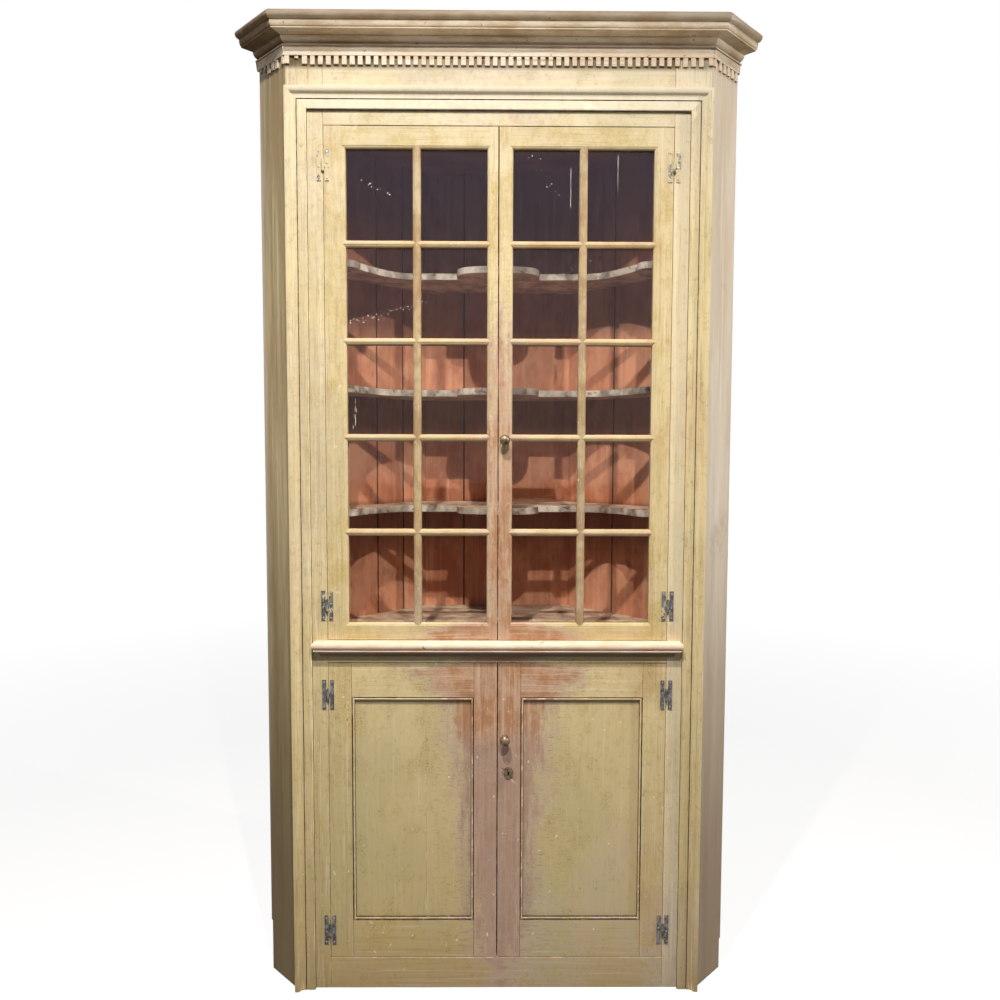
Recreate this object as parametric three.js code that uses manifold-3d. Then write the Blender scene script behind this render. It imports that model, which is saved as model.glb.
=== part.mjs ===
// Painted pine corner cupboard: glazed doors above, panelled doors below, dentil cornice.
// Millimetres, +Z up. X runs along the front, the front faces -Y and the room's corner is at +Y.
// The origin is under the middle of the whole cupboard's box, on the floor.
import * as THREE from 'three';
import { mergeVertices } from 'three/addons/utils/BufferGeometryUtils.js';
import Module from 'manifold-3d';

const wasm = await Module();
wasm.setup();

// Gaps and counts that the whole cupboard shares
const fit = 0.3;
const weld = 0.003;
const overrun = 4;
const arcSteps = 6;
const roundSides = 16;

// Case, in plan: a flat front between two arrises and a return board turned 45 degrees at each.
// The seams between a side wall's boards are measured from the inner corner with the back.
const openingHalfWidth = 404.5;
const faceStileWidth = 84.5;
const returnWidth = 115;
const frameThickness = 22;
const wallThickness = 16;
const backThickness = 16;
const backInnerDepth = 424;
const seamGap = 1.2;
const leftWallSeams = [172.5, 83.5];
const rightWallSeams = [157.5];
const backSeams = [-96];

// Case, in height, from the floor up
const baseRailHeight = 77;
const lowerOpeningHeight = 730;
const waistRailHeight = 54;
const upperOpeningHeight = 1196;
const friezeRailHeight = 205;
const skirtingNotchDepth = 5;
const leftNotchHeight = 125;
const rightNotchHeight = 75;

// Boards that lie level. The shelves' tops are measured from the rail below them.
const deckThickness = 20;
const doorStop = 5;
const ceilingThickness = 18;
const ceilingAboveHead = 30;
const shelfThickness = 17;
const shelfRises = [306, 610, 912.5];
const lowerShelfRise = 375;

// Front edge of a shaped shelf, as depths behind the face and half widths
const shelfEndDepth = 84;
const shelfCuspDepth = 121;
const shelfRecessDepth = 240;
const shelfTongueDepth = 149;
const shelfLobeHalfWidth = 385;
const shelfCuspHalfWidth = 342;
const shelfRecessHalfWidth = 218;
const shelfTongueHalfWidth = 106;
const shelfTongueShoulder = 84;
const shelfTongueStep = 31;

// Cornice, as projections from the case and heights of its members, from the top down
const corniceAboveCase = 24;
const corniceProjection = 62;
const torusHeight = 20;
const torusDrop = 2;
const coronaHeight = 16;
const coronaProjection = 51;
const soffitProjection = 46;
const soffitLip = 2.5;
const bedMouldProjection = 16;
const bedMouldFoot = 3;
const bedMouldHeight = 13;
const bedMouldNeck = 4.5;

// Dentil course under the cornice
const filletHeight = 3.5;
const filletProjection = 10;
const fasciaHeight = 20;
const fasciaProjection = 6;
const toothHeight = 20;
const toothWidth = 11;
const toothPitch = 18.1;
const toothProjection = 5;
const cornerToothFront = 10;
const cornerToothReturn = 8;
const firstReturnTooth = 29;

// Architrave round the front
const architraveRise = 81;
const architraveWidth = 48;
const architraveInset = 0.5;
const architraveProud = 18;
const architraveFillet = 3;
const architraveCymaWidth = 19;
const architraveCymaFoot = 9;
const architraveQuirkWidth = 2;
const architraveQuirkDepth = 3;
const architraveBandProud = 8;
const architraveEdge = 1.5;

// Waist moulding between the doors
const waistProjection = 24;
const waistNosing = 21;
const waistFilletHeight = 3;
const waistNeck = 6;
const waistMouldHeight = 38;
const waistNosingStep = 4;

// Doors
const doorThickness = 22;
const doorGap = 1.5;
const hingeGap = 1;
const meetingGap = 2.5;
const stickingDepth = 7;
const stickingWidth = 6.5;
const stickingFillet = 1;

// Glazed doors
const leftSashHingeStile = 50;
const leftSashMeetingStile = 25;
const rightSashHingeStile = 44;
const rightSashMeetingStile = 32;
const sashTopRail = 50;
const sashBottomRail = 41;
const paneColumns = 2;
const paneRows = 5;
const barWidth = 19;
const crossBarWidth = 16.5;
const barDepth = 12;
const glassThickness = 3;
const glassRebate = 7;

// Panelled doors
const panelDoorStile = 62;
const panelDoorTopRail = 90;
const panelDoorBottomRail = 100;
const panelThickness = 8;
const panelGroove = 9;

// H hinges, on the face, with the knuckle on the line where door and frame meet
const hingeHeight = 70;
const leafWidth = 9.3;
const leafThickness = 2;
const leafStart = 4.7;
const knuckleRadius = 3.3;
const knuckleHeight = 26;
const pinRadius = 1.6;
const boreClearance = 0.4;
const pinHeadRadius = 2.6;
const pinHeadHeight = 2;
const upperHingeFromFoot = 82.5;
const upperHingeFromTop = 88.5;
const lowerHingeFromFoot = 69.5;
const lowerHingeFromTop = 75.5;

// Knobs, each turned with its spindle, and the latch tongue on the spindle's end. A rise is
// measured from the door's foot and an inset from its meeting edge, here and for the lock.
const knobRadius = 12.5;
const knobReach = 27;
const knobBallHalfDepth = 10.2;
const knobNeckRadius = 6;
const knobNeckStart = 5;
const knobBaseRadius = 9.5;
const knobBaseHeight = 3;
const spindleRadius = 4.5;
const tongueLength = 34;
const tongueWidth = 14;
const tongueThickness = 5;
const upperKnobInset = 14.5;
const upperKnobRise = 475.5;
const lowerKnobInset = 17;
const lowerKnobRise = 544.5;

// Rim lock behind the lower right door
const lockInset = 26;
const lockRise = 459.5;
const lockCaseLength = 52;
const lockCaseHeight = 60;
const lockCaseDepth = 15;
const lockWall = 3;
const boltLength = 40;
const boltHeight = 16;
const boltThickness = 6;
const boltRecess = 1;
const escutcheonWidth = 23;
const escutcheonHeight = 31;
const escutcheonThickness = 1.6;
const keyholeRadius = 3;
const keyholeSlotWidth = 3;
const keyholeSlotLength = 9;

// Heights and depths that follow from the sizes above
const lowerOpeningTop = baseRailHeight + lowerOpeningHeight;
const upperOpeningFoot = lowerOpeningTop + waistRailHeight;
const upperOpeningTop = upperOpeningFoot + upperOpeningHeight;
const caseHeight = upperOpeningTop + friezeRailHeight;
const corniceTop = caseHeight + corniceAboveCase;
const coronaTop = corniceTop - torusHeight;
const soffitHeight = coronaTop - coronaHeight;
const filletTop = soffitHeight - bedMouldHeight - bedMouldNeck;
const architraveTop = upperOpeningTop + architraveRise;
const frontHalfWidth = openingHalfWidth + faceStileWidth;
const wallLine = frontHalfWidth + returnWidth * Math.SQRT2;
const wallRun = backInnerDepth * Math.SQRT2 - returnWidth + wallThickness;
const backOuterDepth = backInnerDepth + backThickness;
const middleDepth = (backOuterDepth - corniceProjection) / 2;
const mitreSlope = Math.tan(Math.PI / 8);

// Finishes
const paint = (color) => new THREE.MeshStandardMaterial({ color, roughness: 0.62, metalness: 0 });
const facePaint = () => paint(0xd8c593);
const sidePaint = () => paint(0x9c8f68);
const corniceFinish = () => paint(0xbfa878);
const dentilFinish = () => paint(0xe2d6c0);
const wallPaint = () => paint(0xb98a72);
const shelfFinish = () => paint(0xa8917c);
const iron = () => new THREE.MeshStandardMaterial({ color: 0x3a332c, roughness: 0.55, metalness: 0.8 });
const brass = () => new THREE.MeshStandardMaterial({ color: 0x7d5f33, roughness: 0.4, metalness: 0.9 });
const glass = () => {
  const finish = new THREE.MeshStandardMaterial({ color: 0xdfe6e4, roughness: 0.05, metalness: 0 });
  finish.transparent = true;
  finish.opacity = 0.3;
  return finish;
};

// A closed geometry as a solid that can be joined and cut, and the way back
function solidOf(geometry) {
  const bare = geometry.clone();
  bare.deleteAttribute('normal');
  bare.deleteAttribute('uv');
  const merged = mergeVertices(bare, weld);
  return new wasm.Manifold(new wasm.Mesh({
    numProp: 3,
    vertProperties: new Float32Array(merged.attributes.position.array),
    triVerts: new Uint32Array(merged.index.array),
  }));
}

function geometryOf(solid) {
  const mesh = solid.getMesh();
  const geometry = new THREE.BufferGeometry();
  geometry.setAttribute('position', new THREE.BufferAttribute(mesh.vertProperties, 3));
  geometry.setIndex(new THREE.BufferAttribute(mesh.triVerts, 1));
  const faceted = geometry.toNonIndexed();
  faceted.computeVertexNormals();
  return faceted;
}

// A block between two corners
function block([x0, y0, z0], [x1, y1, z1]) {
  const geometry = new THREE.BoxGeometry(Math.abs(x1 - x0), Math.abs(y1 - y0), Math.abs(z1 - z0));
  return geometry.translate((x0 + x1) / 2, (y0 + y1) / 2, (z0 + z1) / 2);
}

// A cylinder that stands on z0 and reaches z1
function post(radius, z0, z1, sides = roundSides) {
  const geometry = new THREE.CylinderGeometry(radius, radius, z1 - z0, sides);
  return geometry.rotateX(Math.PI / 2).translate(0, 0, (z0 + z1) / 2);
}

// A round bar along Y
function dowel(radius, y0, y1, x, z) {
  return new THREE.CylinderGeometry(radius, radius, y1 - y0, roundSides).translate(x, (y0 + y1) / 2, z);
}

// A board with the given plan between two heights
function prism(plan, z0, z1) {
  const points = (corners) => corners.map(([x, y]) => new THREE.Vector2(x, y));
  const outline = plan instanceof THREE.Shape ? plan : new THREE.Shape(points(plan));
  const settings = { depth: z1 - z0, bevelEnabled: false, curveSegments: arcSteps };
  return new THREE.ExtrudeGeometry(outline, settings).translate(0, 0, z0);
}

// A skin through rings of equally many points, closed by a cap at each end. A cap is a list of
// triangles, and by itself a fan, which suits a convex ring.
function loft(rings, cap = null) {
  const count = rings[0].length;
  const fan = Array.from({ length: count - 2 }, (_, i) => [0, i + 1, i + 2]);
  const faces = [];
  for (let r = 0; r + 1 < rings.length; r += 1) {
    for (let i = 0; i < count; i += 1) {
      const a = r * count + i;
      const b = r * count + ((i + 1) % count);
      faces.push([a, b, b + count], [a, b + count, a + count]);
    }
  }
  const last = (rings.length - 1) * count;
  for (const [a, b, c] of cap ?? fan) {
    faces.push([a, c, b], [last + a, last + b, last + c]);
  }
  const points = rings.flat().map((p) => new THREE.Vector3(...p));
  const wedge = ([a, b, c]) => points[a].dot(points[b].clone().cross(points[c]));
  const volume = faces.reduce((sum, face) => sum + wedge(face), 0);
  const facing = volume > 0 ? faces : faces.map(([a, b, c]) => [a, c, b]);
  const places = points.flatMap((point) => point.toArray());
  const geometry = new THREE.BufferGeometry();
  geometry.setAttribute('position', new THREE.Float32BufferAttribute(places, 3));
  geometry.setIndex(facing.flat());
  const faceted = geometry.toNonIndexed();
  faceted.computeVertexNormals();
  return faceted;
}

// A moulding run along a bent line with mitred corners. The profile's first value is measured
// square to the line, to the right of its direction, and place() puts each point in space.
function mitredRun(line, profile, place) {
  const normals = line.slice(1).map(([x, y], i) => {
    const along = new THREE.Vector2(x - line[i][0], y - line[i][1]).normalize();
    return new THREE.Vector2(along.y, -along.x);
  });
  const contour = profile.map(([out, level]) => new THREE.Vector2(out, level));
  if (THREE.ShapeUtils.isClockWise(contour)) {
    contour.reverse();
  }
  const rings = line.map(([x, y], i) => {
    const before = normals[Math.max(i - 1, 0)];
    const after = normals[Math.min(i, normals.length - 1)];
    const mitre = before.clone().add(after).divideScalar(1 + before.dot(after));
    return contour.map((point) => place(x + mitre.x * point.x, y + mitre.y * point.x, point.y));
  });
  return loft(rings, THREE.ShapeUtils.triangulateShape(contour, []));
}

// Points on part of an ellipse, from one angle to another, in degrees
function arc([cx, cy], [rx, ry], from, to) {
  return Array.from({ length: arcSteps + 1 }, (_, i) => {
    const angle = THREE.MathUtils.degToRad(from + ((to - from) * i) / arcSteps);
    return [cx + rx * Math.cos(angle), cy + ry * Math.sin(angle)];
  });
}

const cupboard = new THREE.Group();
const caseGroup = new THREE.Group();
cupboard.add(caseGroup);

function piece(parent, name, geometry, material, position = [0, 0, 0]) {
  const mesh = new THREE.Mesh(geometry, material);
  mesh.name = name;
  mesh.position.set(...position);
  parent.add(mesh);
  return mesh;
}

// Plan of the case. side is -1 on the left and 1 on the right. A point is given by its way
// along the return board from the arris and its way along the wall from the return's face.
function wallPoint(side, alongReturn, alongWall) {
  const outward = frontHalfWidth + (alongReturn - alongWall) / Math.SQRT2;
  return [side * outward, (alongReturn + alongWall) / Math.SQRT2];
}

// Half width between the side walls' inner faces at one depth
const innerHalfWidth = (depth, clear) => wallLine - (wallThickness + clear) * Math.SQRT2 - depth;

// Face frame: full-height stiles mitred to the returns, and three rails between them
for (const [name, side] of [['left', -1], ['right', 1]]) {
  const arris = frontHalfWidth - fit;
  const plan = [
    [side * arris, 0],
    [side * openingHalfWidth, 0],
    [side * openingHalfWidth, frameThickness],
    [side * (arris - mitreSlope * frameThickness), frameThickness],
  ];
  piece(caseGroup, `${name}_face_stile`, prism(plan, 0, caseHeight), facePaint());
}
const railEnd = openingHalfWidth - fit;
const railHeights = {
  base_rail: [0, baseRailHeight],
  waist_rail: [lowerOpeningTop, upperOpeningFoot],
  frieze_rail: [upperOpeningTop, caseHeight],
};
for (const [name, [foot, top]] of Object.entries(railHeights)) {
  const rail = new THREE.BoxGeometry(2 * railEnd, frameThickness, top - foot);
  piece(caseGroup, name, rail, facePaint(), [0, frameThickness / 2, (foot + top) / 2]);
}

// Boards that stand against the walls, from one place along the wall to another. Those at the
// foot of the walls are notched over the room's skirting.
function wallBoard(side, start, end, inner, notchHeight) {
  const backFace = (alongReturn) => (backInnerDepth - fit) * Math.SQRT2 - alongReturn;
  const endAt = (alongReturn) => (end === null ? backFace(alongReturn) : end);
  const plan = [
    wallPoint(side, returnWidth, start),
    wallPoint(side, returnWidth, endAt(returnWidth)),
    wallPoint(side, inner, endAt(inner)),
    wallPoint(side, inner, start),
  ];
  const notchEnd = backFace(returnWidth - skirtingNotchDepth) + overrun;
  const notch = [
    wallPoint(side, returnWidth + overrun, start - overrun),
    wallPoint(side, returnWidth + overrun, notchEnd),
    wallPoint(side, returnWidth - skirtingNotchDepth, notchEnd),
    wallPoint(side, returnWidth - skirtingNotchDepth, start - overrun),
  ];
  const board = solidOf(prism(plan, 0, caseHeight));
  return geometryOf(board.subtract(solidOf(prism(notch, -overrun, notchHeight))));
}
const notchHeights = { left: leftNotchHeight, right: rightNotchHeight };
for (const [name, side] of [['left', -1], ['right', 1]]) {
  const plan = [
    wallPoint(side, 0, 0),
    wallPoint(side, returnWidth, 0),
    wallPoint(side, returnWidth, frameThickness),
    wallPoint(side, mitreSlope * frameThickness, frameThickness),
  ];
  const notch = [
    wallPoint(side, returnWidth + overrun, -overrun),
    wallPoint(side, returnWidth + overrun, frameThickness + overrun),
    wallPoint(side, returnWidth - skirtingNotchDepth, frameThickness + overrun),
    wallPoint(side, returnWidth - skirtingNotchDepth, -overrun),
  ];
  const notchSolid = solidOf(prism(notch, -overrun, notchHeights[name]));
  const board = solidOf(prism(plan, 0, caseHeight)).subtract(notchSolid);
  piece(caseGroup, `${name}_return_board`, geometryOf(board), sidePaint());
}
const wallSeams = { left: [-1, leftWallSeams], right: [1, rightWallSeams] };
for (const [name, [side, seams]] of Object.entries(wallSeams)) {
  const places = seams.map((seam) => wallRun - seam);
  const starts = [frameThickness + fit, ...places.map((place) => place + seamGap / 2)];
  const ends = [...places.map((place) => place - seamGap / 2), null];
  starts.forEach((start, i) => {
    const board = wallBoard(side, start, ends[i], returnWidth - wallThickness, notchHeights[name]);
    piece(caseGroup, `${name}_wall_board_${i + 1}`, board, wallPaint());
  });
}

// Flat back across the corner, its outer edges bevelled to the walls
const backEdges = [null, ...backSeams, null];
backEdges.slice(1).forEach((end, i) => {
  const start = backEdges[i];
  const edge = (x, side, depth) => (x === null ? side * (wallLine - depth) : x - (side * seamGap) / 2);
  const plan = [
    [edge(start, -1, backInnerDepth), backInnerDepth],
    [edge(end, 1, backInnerDepth), backInnerDepth],
    [edge(end, 1, backOuterDepth), backOuterDepth],
    [edge(start, -1, backOuterDepth), backOuterDepth],
  ];
  piece(caseGroup, `back_board_${i + 1}`, prism(plan, 0, caseHeight), wallPaint());
});

// Boards that fill the plan from wall to wall behind the face frame
const innerFront = frameThickness + fit;
const innerBack = backInnerDepth - fit;
function innerPlan() {
  const half = [
    [frontHalfWidth - mitreSlope * innerFront, innerFront],
    wallPoint(1, returnWidth - wallThickness - fit, innerFront),
    [innerHalfWidth(innerBack, fit), innerBack],
  ];
  return [...half, ...half.map(([x, y]) => [-x, y]).reverse()];
}
function levelBoard(name, top, thickness, material) {
  piece(caseGroup, name, prism(innerPlan(), top - thickness, top), material);
}
levelBoard('bottom_board', baseRailHeight + doorGap + doorStop, deckThickness, shelfFinish());
levelBoard('lower_shelf', baseRailHeight + lowerShelfRise, shelfThickness, shelfFinish());
levelBoard('waist_deck', upperOpeningFoot + doorStop, deckThickness, shelfFinish());
const ceilingTop = upperOpeningTop + ceilingAboveHead + ceilingThickness;
levelBoard('top_board', ceilingTop, ceilingThickness, wallPaint());

// Shaped shelves: a lobe at each end, a sweep back to a recess and a tongue in the middle
function shelfPlan() {
  const [wallX, wallY] = wallPoint(-1, returnWidth - wallThickness - fit, innerFront);
  const endsOnReturn = shelfEndDepth < wallY;
  const returnX = innerFront * Math.SQRT2 - frontHalfWidth - shelfEndDepth;
  const endX = endsOnReturn ? returnX : -innerHalfWidth(shelfEndDepth, fit);
  const backX = innerHalfWidth(innerBack, fit);
  const shoulderX = shelfTongueHalfWidth - shelfTongueShoulder;
  const shoulderDepth = shelfRecessDepth - shelfTongueStep;
  const outline = new THREE.Shape();
  outline.moveTo(endX, shelfEndDepth);
  outline.lineTo(-shelfLobeHalfWidth, shelfEndDepth);
  outline.quadraticCurveTo(-shelfCuspHalfWidth, shelfEndDepth, -shelfCuspHalfWidth, shelfCuspDepth);
  outline.quadraticCurveTo(
    (-shelfCuspHalfWidth - shelfRecessHalfWidth) / 2, shelfRecessDepth,
    -shelfRecessHalfWidth, shelfRecessDepth,
  );
  outline.lineTo(-shelfTongueHalfWidth, shelfRecessDepth);
  outline.lineTo(-shelfTongueHalfWidth, shoulderDepth);
  outline.quadraticCurveTo(-shelfTongueHalfWidth, shelfTongueDepth, -shoulderX, shelfTongueDepth);
  outline.lineTo(shoulderX, shelfTongueDepth);
  outline.quadraticCurveTo(shelfTongueHalfWidth, shelfTongueDepth, shelfTongueHalfWidth, shoulderDepth);
  outline.lineTo(shelfTongueHalfWidth, shelfRecessDepth);
  outline.lineTo(shelfRecessHalfWidth, shelfRecessDepth);
  outline.quadraticCurveTo(
    (shelfCuspHalfWidth + shelfRecessHalfWidth) / 2, shelfRecessDepth,
    shelfCuspHalfWidth, shelfCuspDepth,
  );
  outline.quadraticCurveTo(shelfCuspHalfWidth, shelfEndDepth, shelfLobeHalfWidth, shelfEndDepth);
  outline.lineTo(-endX, shelfEndDepth);
  if (endsOnReturn) {
    outline.lineTo(-wallX, wallY);
  }
  outline.lineTo(backX, innerBack);
  outline.lineTo(-backX, innerBack);
  if (endsOnReturn) {
    outline.lineTo(wallX, wallY);
  }
  return outline;
}
shelfRises.forEach((rise, i) => {
  const top = upperOpeningFoot + rise;
  const shelf = prism(shelfPlan(), top - shelfThickness, top);
  piece(caseGroup, `upper_shelf_${i + 1}`, shelf, shelfFinish());
});

// Line of the cornice and the dentils: back along one return, across the front, along the other
const [returnEndX, returnEndY] = wallPoint(1, returnWidth, 0);
const corniceLine = [
  [-returnEndX, returnEndY],
  [-frontHalfWidth, 0],
  [frontHalfWidth, 0],
  [returnEndX, returnEndY],
];
const onPlan = (x, y, level) => [x, y, level];

// Cornice: bed moulding, flat soffit, corona and a rounded top member
const bedMouldBase = soffitHeight - bedMouldHeight;
const torusReach = corniceProjection - coronaProjection + torusDrop;
const corniceProfile = [
  [fit, filletTop + fit],
  [bedMouldFoot, filletTop + fit],
  [bedMouldFoot, bedMouldBase],
  ...arc([bedMouldFoot, soffitHeight], [bedMouldProjection - bedMouldFoot, bedMouldHeight], -90, 0)
    .slice(1),
  [soffitProjection, soffitHeight],
  [soffitProjection, soffitHeight + soffitLip],
  ...arc(
    [soffitProjection, coronaTop],
    [coronaProjection - soffitProjection, coronaHeight - soffitLip], -90, 0,
  ).slice(1),
  [coronaProjection - torusDrop, coronaTop],
  ...arc(
    [corniceProjection - torusReach, coronaTop + torusHeight / 2],
    [torusReach, torusHeight / 2], -90, 90,
  ).slice(1),
  [fit, corniceTop],
];
piece(caseGroup, 'cornice', mitredRun(corniceLine, corniceProfile, onPlan), corniceFinish());

// Dentil course: a fascia with a fillet on top, and one row of teeth hanging from it
const fasciaTop = filletTop - filletHeight;
const fasciaFoot = fasciaTop - fasciaHeight;
const toothFoot = fasciaFoot - toothHeight;
const fasciaProfile = [
  [fit, fasciaFoot],
  [fasciaProjection, fasciaFoot],
  [fasciaProjection, fasciaTop],
  [filletProjection, fasciaTop],
  [filletProjection, filletTop],
  [fit, filletTop],
];
const toothTop = fasciaFoot + fasciaHeight / 2;
const toothProfile = [
  [fit, toothFoot],
  [toothProjection, toothFoot],
  [toothProjection, toothTop],
  [fit, toothTop],
];
const teethRoom = frontHalfWidth - cornerToothFront - toothWidth;
const frontTeeth = 2 * Math.round(teethRoom / toothPitch);
const returnTeeth = 1 + Math.floor((returnWidth - firstReturnTooth - toothWidth / 2) / toothPitch);
let dentils = solidOf(mitredRun(corniceLine, fasciaProfile, onPlan));
function addTooth(line) {
  dentils = dentils.add(solidOf(mitredRun(line, toothProfile, onPlan)));
}
for (let i = 0; i < frontTeeth; i += 1) {
  const middle = (i - (frontTeeth - 1) / 2) * toothPitch;
  addTooth([[middle - toothWidth / 2, 0], [middle + toothWidth / 2, 0]]);
}
for (const side of [-1, 1]) {
  for (let i = 0; i < returnTeeth; i += 1) {
    const middle = firstReturnTooth + i * toothPitch;
    const half = (side * toothWidth) / 2;
    addTooth([wallPoint(side, middle - half, 0), wallPoint(side, middle + half, 0)]);
  }
  const corner = [
    wallPoint(side, cornerToothReturn, 0),
    [side * frontHalfWidth, 0],
    [side * (frontHalfWidth - cornerToothFront), 0],
  ];
  addTooth(side < 0 ? corner : corner.reverse());
}
piece(caseGroup, 'dentil_course', geometryOf(dentils), dentilFinish());

// Architrave: thick at its outer edge, a cyma down to a quirk and a flat inner band
const architraveHalfWidth = frontHalfWidth - architraveInset;
const architraveLine = [
  [-architraveHalfWidth, 0],
  [-architraveHalfWidth, architraveTop],
  [architraveHalfWidth, architraveTop],
  [architraveHalfWidth, 0],
];
const cymaEnd = architraveFillet + architraveCymaWidth;
const cymaHalfWidth = architraveCymaWidth / 2;
const cymaHalfDrop = (architraveProud - architraveCymaFoot) / 2;
const cymaMiddle = architraveCymaFoot + cymaHalfDrop;
const architraveProfile = [
  [0, fit],
  [0, architraveProud],
  ...arc([architraveFillet, cymaMiddle], [cymaHalfWidth, cymaHalfDrop], 90, 0),
  ...arc([cymaEnd, cymaMiddle], [cymaHalfWidth, cymaHalfDrop], 180, 270).slice(1),
  [cymaEnd + architraveFillet, architraveCymaFoot],
  [cymaEnd + architraveFillet, architraveCymaFoot - architraveQuirkDepth],
  [cymaEnd + architraveFillet + architraveQuirkWidth, architraveCymaFoot - architraveQuirkDepth],
  [cymaEnd + architraveFillet + architraveQuirkWidth, architraveBandProud],
  [architraveWidth - architraveEdge, architraveBandProud],
  [architraveWidth, architraveBandProud - architraveEdge],
  [architraveWidth, fit],
];
const onFace = (x, z, proud) => [x, -proud, z];
piece(caseGroup, 'architrave', mitredRun(architraveLine, architraveProfile, onFace), facePaint());

// Waist moulding: a nosing over a fillet and a cove, returned on itself at both ends
const waistHalfWidth = architraveHalfWidth - architraveWidth - fit;
const nosingRadius = waistNosing / 2;
const nosingMiddle = upperOpeningFoot - nosingRadius;
const coveTop = upperOpeningFoot - waistNosing - waistFilletHeight;
const coveProjection = waistProjection - waistNosingStep;
const waistFoot = upperOpeningFoot - waistMouldHeight;
const waistLevels = [
  [waistNeck, waistFoot],
  ...arc([coveProjection, waistFoot], [coveProjection - waistNeck, coveTop - waistFoot], 180, 90).slice(1),
  [coveProjection, nosingMiddle - nosingRadius],
  ...arc([waistProjection - nosingRadius, nosingMiddle], [nosingRadius, nosingRadius], -60, 90),
];
const waistRings = waistLevels.map(([out, level]) => {
  const end = waistHalfWidth - (waistProjection - out);
  return [[-end, -fit, level], [end, -fit, level], [end, -out, level], [-end, -out, level]];
});
piece(caseGroup, 'waist_moulding', loft(waistRings), facePaint());

// Doors. Each hangs in a group of its own, whose origin is on the line where door and frame
// meet, at the door's foot. toward is 1 on the left door and -1 on the right one, and distances
// across the door run from that line towards the meeting edge.
const doorWidth = openingHalfWidth - hingeGap - meetingGap / 2;
const meetingEdge = hingeGap + doorWidth;
const upperDoorFoot = upperOpeningFoot + doorGap;
const upperDoorHeight = upperOpeningHeight - 2 * doorGap;
const lowerDoorFoot = baseRailHeight + doorGap;
const lowerDoorHeight = lowerOpeningHeight - 2 * doorGap;

function doorGroup(toward, foot) {
  const group = new THREE.Group();
  group.position.set(-toward * openingHalfWidth, 0, foot);
  cupboard.add(group);
  return group;
}

// A block of a door, from one distance across it to another
function doorBlock(toward, [across0, depth0, z0], [across1, depth1, z1]) {
  return solidOf(block([toward * across0, depth0, z0], [toward * across1, depth1, z1]));
}

// A pocket through a door, moulded from its mouth on the face down to the sight size
function stickingPocket(toward, across0, across1, z0, z1) {
  const levels = [
    [-overrun, stickingWidth],
    [stickingFillet, stickingWidth],
    ...arc([0, stickingDepth], [stickingWidth, stickingDepth - stickingFillet], -90, 0)
      .map(([inward, depth]) => [depth, stickingWidth - inward]),
    [doorThickness + overrun, 0],
  ];
  const rings = levels.map(([depth, out]) => [
    [toward * (across0 - out), depth, z0 - out],
    [toward * (across1 + out), depth, z0 - out],
    [toward * (across1 + out), depth, z1 + out],
    [toward * (across0 - out), depth, z1 + out],
  ]);
  return solidOf(loft(rings));
}

// Glazed doors: frame and bars in one moulded grid, with the glass in a rebate behind the bars
function glazedDoor(name, toward, hingeStile, meetingStile, knob) {
  const group = doorGroup(toward, upperDoorFoot);
  const glazedWidth = doorWidth - hingeStile - meetingStile;
  const glazedHeight = upperDoorHeight - sashTopRail - sashBottomRail;
  const paneWidth = (glazedWidth - (paneColumns - 1) * barWidth) / paneColumns;
  const paneHeight = (glazedHeight - (paneRows - 1) * crossBarWidth) / paneRows;
  const left = hingeGap + hingeStile;
  let sash = doorBlock(toward, [hingeGap, 0, 0], [meetingEdge, doorThickness, upperDoorHeight]);
  for (let column = 0; column < paneColumns; column += 1) {
    const across = left + column * (paneWidth + barWidth);
    for (let row = 0; row < paneRows; row += 1) {
      const foot = sashBottomRail + row * (paneHeight + crossBarWidth);
      sash = sash.subtract(stickingPocket(toward, across, across + paneWidth, foot, foot + paneHeight));
    }
  }
  const rebateFoot = sashBottomRail - glassRebate;
  const rebateTop = sashBottomRail + glazedHeight + glassRebate;
  const rebateStart = left - glassRebate;
  const rebateEnd = left + glazedWidth + glassRebate;
  sash = sash.subtract(doorBlock(
    toward,
    [rebateStart, barDepth, rebateFoot],
    [rebateEnd, doorThickness + overrun, rebateTop],
  ));
  if (knob) {
    sash = sash.subtract(spindleHole(toward, upperKnobInset, upperKnobRise));
  }
  piece(group, `${name}_sash`, geometryOf(sash), facePaint());
  const pane = new THREE.BoxGeometry(
    rebateEnd - rebateStart - 2 * fit,
    glassThickness,
    rebateTop - rebateFoot - 2 * fit,
  );
  const middle = [
    (toward * (rebateStart + rebateEnd)) / 2,
    barDepth + fit + glassThickness / 2,
    (rebateFoot + rebateTop) / 2,
  ];
  piece(group, `${name}_glass`, pane, glass(), middle);
  return group;
}

function spindleHole(toward, inset, height) {
  const across = toward * (meetingEdge - inset);
  return solidOf(dowel(spindleRadius + boreClearance, -overrun, doorThickness + overrun, across, height));
}

// Keyhole: a round eye over a straight slot. In wood and iron it is a little larger than in brass.
const keyholeShape = () => new THREE.Shape(keyholeOutline(fit).getPoints(roundSides));
function keyholeOutline(grow) {
  const outline = new THREE.Path();
  const half = keyholeSlotWidth / 2 + grow;
  const radius = keyholeRadius + grow;
  const start = Math.asin(half / radius) - Math.PI / 2;
  outline.absarc(0, 0, radius, start, Math.PI - start, false);
  outline.lineTo(-half, -keyholeSlotLength - grow);
  outline.lineTo(half, -keyholeSlotLength - grow);
  outline.closePath();
  return outline;
}

// An outline drawn on the face, as a solid from one depth to a greater one
function faceSolid(outline, depth0, depth1) {
  const settings = { depth: depth1 - depth0, bevelEnabled: false, curveSegments: roundSides };
  return new THREE.ExtrudeGeometry(outline, settings).rotateX(Math.PI / 2).translate(0, depth1, 0);
}

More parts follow.
